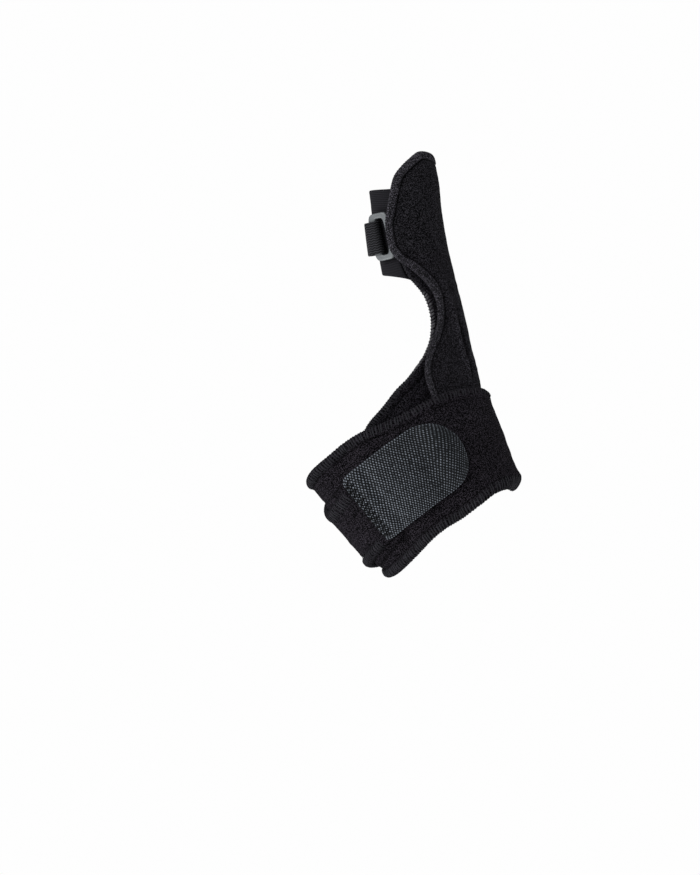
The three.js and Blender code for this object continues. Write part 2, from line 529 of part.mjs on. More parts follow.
const splint = new THREE.Group();
splint.name = 'thumb_splint';
splint.add(
  piece('thumb_body', makeBody(), 0x141416, 0.95),
  piece('outer_panel', makePanel(), 0x161618, 0.95),
  piece('wrist_belt', makeBelt(), 0x151517, 0.95),
  piece('hook_tab', makeTab(), 0x2b3138, 0.7),
  piece('thumb_sleeve', makeSleeve(), 0x1b1b1e, 0.9),
  piece('thumb_strap', makeStrap(), 0x18181b, 0.9),
  piece('ring', makeRing(), 0xb9bdc1, 0.45),
);

export default splint;
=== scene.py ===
"""Thumb spica splint, left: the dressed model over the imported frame."""

import bpy
import numpy as np
from mathutils import Matrix, Vector


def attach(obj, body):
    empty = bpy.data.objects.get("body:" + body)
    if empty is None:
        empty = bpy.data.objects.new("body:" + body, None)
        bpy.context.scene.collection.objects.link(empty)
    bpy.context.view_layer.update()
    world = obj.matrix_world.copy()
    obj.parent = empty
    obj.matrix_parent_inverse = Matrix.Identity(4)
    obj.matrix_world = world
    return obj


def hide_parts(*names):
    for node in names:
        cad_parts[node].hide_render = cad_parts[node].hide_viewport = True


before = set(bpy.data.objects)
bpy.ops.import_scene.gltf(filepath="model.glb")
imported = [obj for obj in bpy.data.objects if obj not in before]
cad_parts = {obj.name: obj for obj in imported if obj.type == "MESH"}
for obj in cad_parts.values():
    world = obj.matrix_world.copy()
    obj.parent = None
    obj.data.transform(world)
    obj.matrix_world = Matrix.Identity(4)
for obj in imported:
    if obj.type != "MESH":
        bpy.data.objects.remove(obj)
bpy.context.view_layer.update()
MM = 0.001
TAU = 2 * np.pi

# Sizes in millimetres, the same as the solids'
WRIST_BREADTH, WRIST_DEPTH = 61, 40
ROOT_OUT, ROOT_UP = 44, 44
THUMB_LEAN = np.radians(29.4)
THUMB_BREADTH, THUMB_DEPTH, THUMB_REACH, THUMB_FORWARD = 21.3, 21, 72, 3
SKIN_GAP, PLY_GAP = 0.4, 0.35
BODY_WALL, BODY_ROLL = 2.3, 0.4
PANEL_WALL = 2.5
BELT_WALL, BELT_ROLL = 2.4, 0.4
TAB_WALL, SLEEVE_WALL, STRAP_WALL = 1.2, 1.4, 1.2
BELT_HALF = 26
RING_LENGTH, RING_BELOW_TIP, RING_TURN = 19.6, 41, np.radians(124)
RING_START = THUMB_REACH - RING_BELOW_TIP
RING_BAR, RING_HELD_BAR, RING_CARRY_BAR = 2.3, 2.8, 3.3
RING_WINDOW, RING_THICK, STRAP_PLAY, STRAP_SLACK = 3.8, 1.6, 0.35, 0.9

# Soft forms in millimetres: how wide the rolled edges are, how high their round humps and the fold
# beside the stay pocket stand, and how much wider the ring's window is than the solid's
ROLL_WIDTH = 4.2
BODY_ROLL_WIDTH, PANEL_ROLL_WIDTH, PANEL_ROLL_BELOW = 0.9 * ROLL_WIDTH, 3.2, 2.3
WING_BEAD, NOTCH_BEAD, PANEL_BEAD, BELT_BEAD = 1.0, 0.45, 0.95, 1.0
FOLD_RISE = 1.0
WINDOW_SPARE = 0.4

# Ribs of the form, in shares of the sizes above, with the half breadths and half depths counted
# from its middle line. Wrist: out, up, lean, radial, ulnar, dorsal, palmar, forward.
WRIST_RIBS = [
    (0, -0.84, 0, 0.37, 0.52, 0.525, 0.525, 0),
    (0, -0.45, 0.08, 0.435, 0.515, 0.5, 0.5, 0),
    (0, 0, 0.24, 0.542, 0.515, 0.49, 0.51, 0),
    (0.09, 0.41, 0.5, 0.57, 0.595, 0.48, 0.54, 0.15),
    (0.36, 0.66, 0.76, 0.475, 0.8, 0.45, 0.54, 0.4),
    (0.68, 0.82, 0.95, 0.318, 0.8, 0.4, 0.48, 0.75),
]
# Thumb: along, radial, ulnar, dorsal, palmar.
THUMB_RIBS = [
    (0, 0.515, 0.66, 0.6, 0.68),
    (0.22, 0.485, 0.55, 0.53, 0.58),
    (0.45, 0.462, 0.52, 0.5, 0.52),
    (0.65, 0.485, 0.505, 0.5, 0.5),
    (0.83, 0.545, 0.455, 0.49, 0.49),
    (1.02, 0.535, 0.46, 0.47, 0.47),
]
# Edges on the form: place counted in ribs, turn in degrees. Turn 0 is the thumb side, 90 the back,
# which the camera sees, and 180 the side away from the thumb.
BODY_DORSAL = [
    (1.45, 100), (2.4, 106), (3.15, 110), (3.57, 106.9), (3.99, 97.5), (4.42, 92.3), (4.88, 85.6),
    (5.22, 80.5), (5.61, 79.4), (6.0, 80.6), (6.43, 79), (6.75, 80), (6.95, 84.5), (7.2, 95), (7.5, 105),
    (7.9, 110), (8.6, 108.5), (9.05, 105), (9.5, 97), (10.0, 84), (10.3, 70), (10.45, 54),
]
BODY_PALMAR = [
    (1.4, -62), (3, -70), (4.4, -72), (5.5, -70), (6.4, -66), (7.2, -67), (8.3, -71), (9.2, -68),
    (9.8, -56), (10.15, -34),
]
BODY_LOWER = [(1.45, 100), (1.3, 50), (1.25, 0), (1.4, -62)]
BODY_UPPER = [(10.45, 54), (10.46, 30), (10.35, 0), (10.15, -34)]
PANEL_DORSAL = [
    (1.6, 52), (2.6, 58), (3.4, 61), (3.81, 63), (4.35, 69.8), (4.78, 75.2), (5.16, 77.4), (5.51, 76.6),
    (5.97, 74.3), (6.3, 70.5), (6.55, 67.5), (6.8, 68), (7.08, 74.1), (7.33, 84.3), (7.57, 95.7),
    (7.78, 107), (7.98, 113.9), (8.21, 117.5), (8.61, 117.9), (8.98, 115.4), (9.3, 110), (9.75, 104.4),
    (10.27, 92.3), (10.56, 76), (10.8, 55),
]
PANEL_PALMAR = [
    (1.6, -36), (3.2, -42), (4.4, -50), (5.5, -54), (6.4, -60), (7.2, -72), (8.2, -82), (9, -82),
    (9.6, -74), (10.15, -58), (10.45, -34),
]
PANEL_LOWER = [(1.6, 52), (1.5, 8), (1.6, -36)]
PANEL_UPPER = [(10.8, 55), (10.87, 42), (10.8, 24), (10.66, 0), (10.45, -34)]
# The soft fold beside the stay pocket: place in ribs, turn, share of its height.
FOLD_LINE = np.array([
    (3.7, 24.5, 0.5), (4.24, 26, 0.9), (4.7, 27.5, 1), (5.23, 33.5, 1), (5.63, 39, 1),
    (6.03, 43.5, 0.8), (6.38, 44, 0.6), (7, 47.5, 0.4), (7.5, 50, 0.15),
])
SLEEVE_DORSAL = [
    (7.34, 103.5), (7.5, 108.5), (7.9, 113.5), (8.6, 112), (9.05, 108.5), (9.5, 100.5), (9.92, 90.5),
]
SLEEVE_PALMAR = [(7.12, 289), (7.5, 287), (8.3, 285), (9.2, 287.5), (9.98, 305)]
SLEEVE_LOWER = [(7.34, 103.5), (7.5, 140), (7.57, 195), (7.42, 250), (7.12, 289)]
SLEEVE_UPPER = [(9.92, 90.5), (10.04, 150), (10.06, 197), (9.98, 305)]
# The belt and the tab along their length: turn, lower and upper edge in shares of half the height.
# At the turns 34 to 3 the belt's rim leans in, so its lower edge lies a little higher than the solid's.
BELT_COURSE = np.array([
    (210, -0.87, 0.74), (180, -0.915, 0.765), (156, -0.945, 0.85), (136, -0.93, 0.92), (120, -0.9, 1.005),
    (106, -0.872, 1.045), (96, -0.875, 1.045), (82, -0.915, 1.08), (64, -0.927, 1.17), (49, -0.92, 1.19),
    (34, -0.975, 1.13), (18, -1.045, 1.05), (3, -1.085, 0.92), (-30, -0.96, 0.82), (-90, -0.86, 0.72),
    (-140, -0.8, 0.54), (-178, -0.63, 0.325), (-198, -0.58, 0.315), (-216, -0.53, 0.375),
    (-233, -0.475, 0.45),
])
TAB_COURSE = np.array([
    (131.8, -0.455, 0.5), (128, -0.478, 0.565), (110, -0.472, 0.632), (89, -0.475, 0.725), (79, -0.48, 0.775),
    (72, -0.478, 0.755), (65, -0.435, 0.675), (59, -0.335, 0.54),
])
TAB_ROUND = [(-0.335, 59), (-0.19, 55.1), (0.02, 53.2), (0.18, 53.1), (0.33, 54.4), (0.54, 59)]


# The form inside
def smooth(x, a, b):
    """Ease from 0 at a to 1 at b by 3t squared less 2t cubed."""
    t = np.clip((np.asarray(x, float) - a) / (b - a), 0, 1)
    return t * t * (3 - 2 * t)


def make_ribs():
    """Rib table in millimetres and radians, and how far along the form each rib lies."""
    ribs = [
        (out * ROOT_OUT, forward * THUMB_FORWARD, up * ROOT_UP, lean * THUMB_LEAN, radial * WRIST_BREADTH,
         ulnar * WRIST_BREADTH, dorsal * WRIST_DEPTH, palmar * WRIST_DEPTH)
        for out, up, lean, radial, ulnar, dorsal, palmar, forward in WRIST_RIBS
    ]
    for along, radial, ulnar, dorsal, palmar in THUMB_RIBS:
        reach = along * THUMB_REACH
        ribs.append((
            ROOT_OUT + reach * np.sin(THUMB_LEAN), THUMB_FORWARD, ROOT_UP + reach * np.cos(THUMB_LEAN),
            THUMB_LEAN, radial * THUMB_BREADTH, ulnar * THUMB_BREADTH, dorsal * THUMB_DEPTH,
            palmar * THUMB_DEPTH,
        ))
    ribs = np.array(ribs, float)
    at = np.concatenate([[0], np.cumsum(np.hypot(*np.diff(ribs[:, [0, 2]], axis=0).T))])
    return ribs, at - at[2]


RIBS, RIB_AT = make_ribs()


def slopes(values, at):
    """Slope at each place of a table: that of the parabola through it and its neighbours."""
    h = np.diff(at)[:, None]
    d = np.diff(values, axis=0) / h
    inner = (d[:-1] * h[1:] + d[1:] * h[:-1]) / (h[:-1] + h[1:])
    return np.vstack([d[:1], inner, d[-1:]])


RIB_SLOPES = slopes(RIBS, RIB_AT)


def hermite(values, slope, at, x):
    """Cubic through the table with the given slopes."""
    i = np.clip(np.searchsorted(at, x, side="right") - 1, 0, len(at) - 2)
    h = (at[i + 1] - at[i])[..., None]
    t = np.clip((x - at[i])[..., None] / h, 0, 1)
    return ((2 * t**3 - 3 * t**2 + 1) * values[i] + (t**3 - 2 * t**2 + t) * h * slope[i]
            + (3 * t**2 - 2 * t**3) * values[i + 1] + (t**3 - t**2) * h * slope[i + 1])


def distance(rib):
    """Millimetres along the form of a place counted in ribs."""
    return np.interp(rib, np.arange(len(RIB_AT)), RIB_AT)


def on_form(s, turn):
    """Point of the form: centre plus cos(turn) times the half breadth across the lean and
    sin(turn) times the half depth towards the back."""
    x, y, z, lean, radial, ulnar, dorsal, palmar = np.moveaxis(hermite(RIBS, RIB_SLOPES, RIB_AT, s), -1, 0)
    c, n = np.cos(np.radians(turn)), np.sin(np.radians(turn))
    across = np.where(c > 0, radial, ulnar) * c
    deep = -np.where(n > 0, dorsal, palmar) * n
    return np.stack([x + across * np.cos(lean), y + deep, z - across * np.sin(lean)], -1)


def outward(s, turn):
    """Unit normal of the form, from the cross product of two small steps."""
    e = 0.05
    n = np.cross(on_form(s + e, turn) - on_form(s - e, turn), on_form(s, turn + e) - on_form(s, turn - e))
    return n / np.linalg.norm(n, axis=-1, keepdims=True)


def over(s, turn, rise):
    """Point that lies a rise above the form, square to it."""
    s, turn, rise = np.broadcast_arrays(*(np.asarray(x, float) for x in (s, turn, rise)))
    return on_form(s, turn) + rise[..., None] * outward(s, turn)


class Line:
    """Smooth line on the form through a table of places, walked at an even pace."""

    def __init__(self, places):
        self.at = np.array(places, float)
        p = on_form(self.at[:, 0], self.at[:, 1])
        self.pace = np.concatenate([[0], np.cumsum(np.linalg.norm(np.diff(p, axis=0), axis=1))])
        a = self.at
        ends = np.arange(len(a))
        lo, hi = np.maximum(ends - 1, 0), np.minimum(ends + 1, len(a) - 1)
        self.slope = (a[hi] - a[lo]) / (self.pace[hi] - self.pace[lo])[:, None]
        self.total = self.pace[-1]

    def __call__(self, f):
        return hermite(self.at, self.slope, self.pace, np.clip(f, 0, 1) * self.total)


def by_rib(*tables):
    """Lines through places counted in ribs."""
    return [Line([(distance(rib), turn) for rib, turn in table]) for table in tables]


def by_level(table):
    """Line through places given in shares of the belt's half height."""
    return Line([(level * BELT_HALF, turn) for level, turn in table])


def course_edges(course):
    """Lower, upper, first and last edge of a band from its course."""
    first, last = course[0], course[-1]
    return (by_level(course[:, [1, 0]]), by_level(course[:, [2, 0]]),
            by_level([(first[1], first[0]), (first[2], first[0])]),
            by_level([(last[1], last[0]), (last[2], last[0])]))


# Noise for cloth
def lattice(ix, iy, seed):
    """Pseudo-random number from 0 to 1 for each whole-number place."""
    h = np.sin(ix * 127.1 + iy * 311.7 + seed * 74.7) * 43758.5453
    return h - np.floor(h)


def ripple(x, y, seed):
    """Smooth value noise from -1 to 1: lattice values blended by eased weights."""
    ix, iy = np.floor(x), np.floor(y)
    fx, fy = x - ix, y - iy
    fx, fy = fx * fx * (3 - 2 * fx), fy * fy * (3 - 2 * fy)
    a, b = lattice(ix, iy, seed), lattice(ix + 1, iy, seed)
    c, d = lattice(ix, iy + 1, seed), lattice(ix + 1, iy + 1, seed)
    return 2 * ((a * (1 - fx) + b * fx) * (1 - fy) + (c * (1 - fx) + d * fx) * fy) - 1


# Rises of the layers
BODY_TOP = SKIN_GAP + BODY_WALL
PANEL_FLOOR = BODY_TOP + BODY_ROLL + PLY_GAP
PANEL_TOP = PANEL_FLOOR + PANEL_WALL


def under_belt(s):
    """1 where the belt presses the layers flat, eased to 0 just past its upper edge."""
    return 1 - smooth(s, 0.92 * BELT_HALF, 1.3 * BELT_HALF)


def bead(d, width):
    """Round hump over a rolled edge: half an ellipse as wide as the roll."""
    return np.sqrt(np.clip(1 - (2 * d / width - 1) ** 2, 0, 1))


def soft_bead(d, width):
    """The same hump, but sinking slowly on its inner side."""
    return np.where(2 * d < width, bead(d, width), 1 - smooth(d, 0.5 * width, 1.4 * width))


def groove(d, width):
    """Narrow valley where the stitches bite, inside the rolled edge."""
    return np.exp(-(((d - width) / (0.14 * width)) ** 2))


def lift(s, turn):
    """How far the panel rises over the ring's held bar: an ease up and down along the ring, times
    an ease in towards the panel's edge."""
    start = RIB_AT[6] + RING_START
    ease = 0.35 * RING_LENGTH
    along = smooth(s, start - ease, start) * (1 - smooth(s, start + RING_LENGTH, start + RING_LENGTH + ease))
    turned = np.degrees(RING_TURN)
    return along * smooth(turn, turned - 34, turned - 20) * (RING_THICK + 2 * STRAP_PLAY - BODY_ROLL)


def fold(s, turn):
    """The line beside the stay pocket: a narrow groove with a low ridge on its far side and a wide
    soft shoulder towards the thumb side, all bell curves of the distance from the line."""
    at = distance(FOLD_LINE[:, 0])
    line = np.interp(s, at, FOLD_LINE[:, 1])
    ends = smooth(s, at[0], at[1]) * (1 - smooth(s, at[-2], at[-1]))
    around = np.linalg.norm(on_form(s, line + 1) - on_form(s, line - 1), axis=-1) / 2
    off = (turn - line) * (around + PANEL_FLOOR * np.radians(1))
    deep = 1.5 * (1 - 0.6 * smooth(s, distance(5.7), distance(6.5)))

    def bell(middle, spread):
        return np.exp(-(((off - middle) / spread) ** 2))

    form = bell(0, 1.7) - deep * bell(-2.1, 1.0) + 0.5 * bell(-6.4, 2.6)
    return FOLD_RISE * ends * np.interp(s, at, FOLD_LINE[:, 2]) * form


def belt_floor(s, turn):
    """Rise of the belt's inner face: up over the body, the panel, and its own first turn."""
    first = SKIN_GAP + (BODY_TOP + PLY_GAP - SKIN_GAP) * smooth(turn, 125, 108) * smooth(turn, -92, -74)
    rise = first + (PANEL_TOP - BODY_TOP) * smooth(turn, 80, 62) * smooth(turn, -62, -44)
    return rise + (BELT_WALL + BELT_ROLL + PLY_GAP) * smooth(turn, -128, -142)


BELT_END = BELT_COURSE[-1][0]


def tab_floor(s, turn):
    """The tab lies on the belt, and steps up on the belt's narrow end."""
    end = BELT_END + 360
    low = belt_floor(s, turn) + BELT_WALL + PLY_GAP
    high = belt_floor(s, np.maximum(turn, end) - 360) + BELT_WALL + PLY_GAP
    return low + (high - low) * smooth(turn, end - 15, end - 5)


# Cloth
class Cloth:
    """A layer of cloth on the form. Its place is blended from four edge lines, and its rim is
    rounded by a quarter of an ellipse, down to 0.35 of its wall. puff gives how far its outer
    face stands up at a distance from the rim, sink how far the whole layer leans in there, and
    nap the size of small dents."""

    def __init__(self, lower, upper, left, right, floor, wall, puff=None, nap=0.0, sink=None):
        self.lower, self.upper, self.left, self.right = lower, upper, left, right
        self.floor, self.wall, self.puff, self.nap, self.sink = floor, wall, puff, nap, sink
        self.wide = (lower.total + upper.total) / 2
        self.tall = (left.total + right.total) / 2
        t = np.linspace(0, 1, 700)
        o, i = np.zeros_like(t), np.ones_like(t)
        rim = np.vstack([self.place(t, o), self.place(i, t), self.place(t, i), self.place(o, t)])
        self.rim = over(rim[:, 0], rim[:, 1], floor(rim[:, 0], rim[:, 1]))

    def place(self, u, v):
        """Blend of the four edges: the sum of the two ruled sheets less the one through the corners."""
        u, v = np.broadcast_arrays(np.asarray(u, float), np.asarray(v, float))
        a, b = u[..., None], v[..., None]
        c = [self.lower(0.0), self.lower(1.0), self.upper(0.0), self.upper(1.0)]
        return ((1 - b) * self.lower(u) + b * self.upper(u) + (1 - a) * self.left(v) + a * self.right(v)
                - (1 - a) * (1 - b) * c[0] - a * (1 - b) * c[1] - (1 - a) * b * c[2] - a * b * c[3])

    def by_side(self, side, run, inward):
        """Place at a share along one side and a share in from it."""
        if side in ("upper", "right"):
            inward = 1 - inward
        return self.place(run, inward) if side in ("lower", "upper") else self.place(inward, run)

    def to_rim(self, p):
        """Distance from each point to the nearest point of the rim."""
        flat = p.reshape(-1, 3)
        near = np.empty(len(flat))
        batch = 4000
        for k in range(0, len(flat), batch):
            part = flat[k:k + batch]
            square = (part**2).sum(1)[:, None] + (self.rim**2).sum(1)[None] - 2 * part @ self.rim.T
            near[k:k + batch] = np.sqrt(np.maximum(square, 0)).min(1)
        return near.reshape(p.shape[:-1])

    def faces(self, u, v, rise=0.0, on_rim=None):
        """Outer point, inner point, outward normal and distance from the rim at u, v."""
        return self.faces_at(self.place(u, v), rise, on_rim)

    def faces_at(self, q, rise=0.0, on_rim=None):
        """The same at places given as distance along the form and turn."""
        s, turn = q[..., 0], q[..., 1]
        low = self.floor(s, turn)
        base = over(s, turn, low)
        d = self.to_rim(base)
        if on_rim is not None:
            d = np.where(on_rim, 0.0, d)
        k = 1 - np.clip(d / (self.wall * 0.7), 0, 1)
        half = self.wall / 2 * (0.35 + 0.65 * np.sqrt(1 - k * k))
        up = 0.0 if self.puff is None else self.puff(s, turn, d)
        if self.nap:
            x, y = q[..., 0] * 1.3, turn * 0.45
            up = up + self.nap * (ripple(x, y, 3) * 0.6 + ripple(x * 0.31, y * 0.31, 5)) * smooth(d, 0.3, 2.0)
        n = outward(s, turn)
        p = on_form(s, turn)
        mid = low + self.wall / 2 - (0.0 if self.sink is None else self.sink(s, turn, d))
        outer = p + (mid + half + up + rise)[..., None] * n
        inner = p + (mid - half - rise)[..., None] * n
        return outer, inner, n, d

    def stops(self, length, step, roll):
        """Grid lines along a side of that length: close on the rim, even between."""
        edge = np.array([0, 0.06, 0.16, 0.3, 0.46, 0.62, 0.8, 1.0]) * min(roll, 0.3 * length) / length
        n = max(int(length * (1 - 2 * edge[-1]) / step), 2)
        return np.concatenate([edge, np.linspace(edge[-1], 1 - edge[-1], n + 1)[1:-1], 1 - edge[::-1]])

    def build(self, name, step, roll, material, step_up=None, relief=None, widths=None):
        """Closed mesh of the outer and the inner face joined round the rim. The attribute rim_mm
        holds the distance from the rim, as if the roll had the same width all along where widths
        is given, and relief the height that the function of that name gives."""
        us, vs = self.stops(self.wide, step, roll), self.stops(self.tall, step_up or step, roll)
        u, v = np.meshgrid(us, vs)
        rim = (u == 0) | (u == 1) | (v == 0) | (v == 1)
        outer, inner, _, d = self.faces(u, v, on_rim=rim)
        uv = np.stack([u * self.wide, v * self.tall], -1)
        made = closed_pair(name, inner, outer, uv, material)
        q = self.place(u, v)
        if widths is not None:
            d = d * roll / widths(q[..., 0], q[..., 1])
        # rim_mm feeds the painted highlight on the roll and the painted shade in its groove
        keep_values(made, "rim_mm", d)
        # relief feeds the painted highlight and shade over the fold
        if relief is not None:
            keep_values(made, "relief", relief(q[..., 0], q[..., 1]))
        return made


def keep_values(obj, name, grid):
    """Attribute with one value for each point of both faces."""
    layer = obj.data.attributes.new(name, "FLOAT", "POINT")
    layer.data.foreach_set("value", np.concatenate([grid.ravel(), grid.ravel()]))


def grid_quads(rows, columns, base=0, wrap_rows=False, wrap_columns=False):
    """Vertex numbers of the quads of a grid."""
    r = np.arange(rows if wrap_rows else rows - 1)[:, None]
    c = np.arange(columns if wrap_columns else columns - 1)[None]
    r2, c2 = (r + 1) % rows, (c + 1) % columns
    q = np.stack([r * columns + c, r * columns + c2, r2 * columns + c2, r2 * columns + c], -1)
    return q.reshape(-1, 4) + base


def closed_pair(name, inner, outer, uv, material):
    """Two grids of the same shape joined along their edges into one closed mesh."""
    rows, columns = inner.shape[:2]
    far = rows * columns
    top = grid_quads(rows, columns, far)
    under = grid_quads(rows, columns)[:, ::-1]
    r, c = np.arange(rows - 1), np.arange(columns - 1)

    def strip(a, b):
        return np.stack([a, b, b + far, a + far], -1)

    edges = np.vstack([
        strip(c, c + 1), strip((rows - 1) * columns + c + 1, (rows - 1) * columns + c),
        strip((r + 1) * columns, r * columns),
        strip(r * columns + columns - 1, (r + 1) * columns + columns - 1),
    ])
    points = np.vstack([inner.reshape(-1, 3), outer.reshape(-1, 3)])
    coords = np.vstack([uv.reshape(-1, 2)] * 2)
    return make_mesh(name, points, np.vstack([under, top, edges]), material, coords)


def make_mesh(name, points, quads, material, uv=None):
    """Object from points in millimetres and quads, turned to face outward where the volume that
    they enclose comes out negative, with a UV map in millimetres."""
    p = points[quads]
    volume = np.einsum("ij,ij->", p[:, 0], np.cross(p[:, 1], p[:, 2]))
    volume += np.einsum("ij,ij->", p[:, 0], np.cross(p[:, 2], p[:, 3]))
    if volume < 0:
        quads = quads[:, ::-1]
    mesh = bpy.data.meshes.new(name)
    mesh.vertices.add(len(points))
    mesh.vertices.foreach_set("co", (points * MM).ravel())
    mesh.loops.add(quads.size)
    mesh.loops.foreach_set("vertex_index", quads.ravel())
    mesh.polygons.add(len(quads))
    mesh.polygons.foreach_set("loop_start", np.arange(0, quads.size, 4))
    mesh.polygons.foreach_set("loop_total", np.full(len(quads), 4))
    mesh.update(calc_edges=True)
    mesh.validate()
    mesh.polygons.foreach_set("use_smooth", np.ones(len(mesh.polygons), bool))
    if uv is not None:
        layer = mesh.uv_layers.new(name="cloth_mm")
        layer.data.foreach_set("uv", uv[quads.ravel()].ravel())
    obj = bpy.data.objects.new(name, mesh)
    bpy.context.scene.collection.objects.link(obj)
    mesh.materials.append(material)
    return obj


def thread_tubes(name, paths, facing, radius, material, flat=1.0):
    """Many short threads at once: a small ring of corners is carried along every path, flat times
    as high as it is wide. paths is (threads, places, 3), and facing the way each place faces."""
    corners = 5
    way = np.gradient(paths, axis=1)
    way /= np.linalg.norm(way, axis=-1, keepdims=True) + 1e-9
    side = np.cross(way, facing)
    side /= np.linalg.norm(side, axis=-1, keepdims=True) + 1e-9
    up = np.cross(side, way)
    angle = np.arange(corners) * TAU / corners
    r = np.broadcast_to(np.asarray(radius, float), paths.shape[:2])[..., None, None]
    ring = r * (np.cos(angle)[None, None, :, None] * side[:, :, None]
                + flat * np.sin(angle)[None, None, :, None] * up[:, :, None])
    points = paths[:, :, None] + ring
    count, places = paths.shape[:2]
    one = grid_quads(places, corners, wrap_columns=True)
    each = np.arange(count)[:, None, None] * places * corners
    quads = (one[None] + each).reshape(-1, 4)
    return make_mesh(name, points.reshape(-1, 3), quads, material)


def overlock(name, cloth, sides, pitch, material, seed, depth, bar=0.42, where=None):
    """Overlock stitches: threads laid square over the rolled edge from the needle line, round the
    rim and a little way in underneath, one every pitch, each leaning and swelling by chance.
    depth gives the needle line's distance from the rim at a place and turn, bar the threads' half
    width, and where the places that have threads, if not all."""
    rng = np.random.default_rng(seed)
    # A thread's places from the needle line out to the rim and back underneath, and its swelling
    shares = np.array([1.0, 0.86, 0.72, 0.57, 0.42, 0.27, 0.13, 0.04, 0.0, 0.0, 0.2, 0.5])
    swell = bar * np.array([0.5, 0.8, 0.95, 1.0, 1.0, 0.9, 0.75, 0.65, 0.6, 0.6, 0.5, 0.4])
    last = 8  # the last place on the outer face, on the rim
    way = np.where(np.arange(len(shares)) <= last, 1, -1)
    corner, step = 1.2, 0.002  # left free at each end of a side, and step for the rim's direction
    paths, facings, radii = [], [], []
    for side in sides:
        length = cloth.wide if side in ("lower", "upper") else cloth.tall
        n = int((length - 2 * corner) / pitch)
        t = (corner + (np.arange(n) + 0.5 + rng.uniform(-0.2, 0.2, n)) * pitch) / length
        rim = cloth.by_side(side, t, 0.0)
        run = cloth.by_side(side, t + step, 0.0) - cloth.by_side(side, t - step, 0.0)
        into = cloth.by_side(side, t, 0.01) - rim
        s, turn = rim.T
        low = cloth.floor(s, turn)
        per_degree = np.linalg.norm(over(s, turn + 1, low) - over(s, turn - 1, low), axis=-1) / 2
        scale = np.stack([np.ones(n), per_degree], -1)
        along = run * scale / np.linalg.norm(run * scale, axis=-1, keepdims=True)
        inward = np.stack([-along[:, 1], along[:, 0]], -1)
        inward *= np.sign((inward * into * scale).sum(-1, keepdims=True))
        deep = depth(s, turn) * rng.uniform(0.84, 1.06, n)
        lean = pitch * rng.uniform(0.3, 0.85, n)
        mm = (inward[:, None] * (shares * deep[:, None])[..., None]
              + along[:, None] * (shares * way * lean[:, None])[..., None])
        q = rim[:, None] + mm / scale[:, None]
        on_rim = np.broadcast_to(shares[None] == 0, q.shape[:2])
        outer, inner, normal, _ = cloth.faces_at(q, rise=0.1, on_rim=on_rim)
        # Round the rim the threads stand off along the way from the cloth's inside to its edge
        further = cloth.faces_at(rim[:, None] + (inward * 0.3 / scale)[:, None])
        off = (outer[:, last:last + 1] + inner[:, last:last + 1]) / 2 - (further[0] + further[1]) / 2
        off /= np.linalg.norm(off, axis=-1, keepdims=True) + 1e-9
        path = np.concatenate([outer[:, :last + 1], inner[:, last + 1:]], 1)
        path[:, last:last + 2] += off * 0.12
        facing = np.concatenate([
            normal[:, :last], normal[:, last:last + 1] * 0.5 + off,
            off - normal[:, last + 1:last + 2] * 0.5, -normal[:, last + 2:],
        ], 1)
        radius = swell[None] * rng.uniform(0.74, 1.16, n)[:, None]
        keep = np.ones(n, bool) if where is None else where(s, turn)
        paths.append(path[keep])
        facings.append(facing[keep])
        radii.append(radius[keep])
    return thread_tubes(name, np.vstack(paths), np.vstack(facings), np.vstack(radii), material, flat=0.6)


# Materials
def group(name, inputs, outputs):
    """Empty node group, its inputs' sockets and its end node. An input whose default is None takes a
    vector, every other socket a number."""
    g = bpy.data.node_groups.new(name, "ShaderNodeTree")
    for label, value in inputs.items():
        kind = "NodeSocketVector" if value is None else "NodeSocketFloat"
        socket = g.interface.new_socket(name=label, in_out="INPUT", socket_type=kind)
        if value is not None:
            socket.default_value = value
    for label in outputs:
        g.interface.new_socket(name=label, in_out="OUTPUT", socket_type="NodeSocketFloat")
    return g, g.nodes.new("NodeGroupInput").outputs, g.nodes.new("NodeGroupOutput")


def feed(tree, made, sockets):
    """Give each named or numbered input a value, or link it to another node's output."""
    for label, value in sockets.items():
        if isinstance(value, bpy.types.NodeSocket):
            tree.links.new(value, made.inputs[label])
        else:
            made.inputs[label].default_value = value
    return made


def node(tree, kind, sockets, **properties):
    """New node with its properties set and its inputs fed."""
    made = tree.nodes.new(kind)
    for key, value in properties.items():
        setattr(made, key, value)
    return feed(tree, made, sockets)


# Arithmetic on sockets and numbers
def maths(tree, operation, a, b=0.0):
    return node(tree, "ShaderNodeMath", {0: a, 1: b}, operation=operation).outputs[0]


def plus(tree, a, b):
    return maths(tree, "ADD", a, b)


def minus(tree, a, b):
    return maths(tree, "SUBTRACT", a, b)


def times(tree, a, b):
    return maths(tree, "MULTIPLY", a, b)


def between(tree, value, start, end, low=0.0, high=1.0):
    """Straight way from low at start to high at end, held beyond both."""
    return node(tree, "ShaderNodeMapRange", {0: value, 1: start, 2: end, 3: low, 4: high}).outputs[0]


def noise(tree, place, scale, detail, roughness=0.5):
    """Cloudy noise from 0 to 1."""
    sockets = {"Vector": place, "Scale": scale, "Detail": detail, "Roughness": roughness}
    return node(tree, "ShaderNodeTexNoise", sockets).outputs["Fac"]


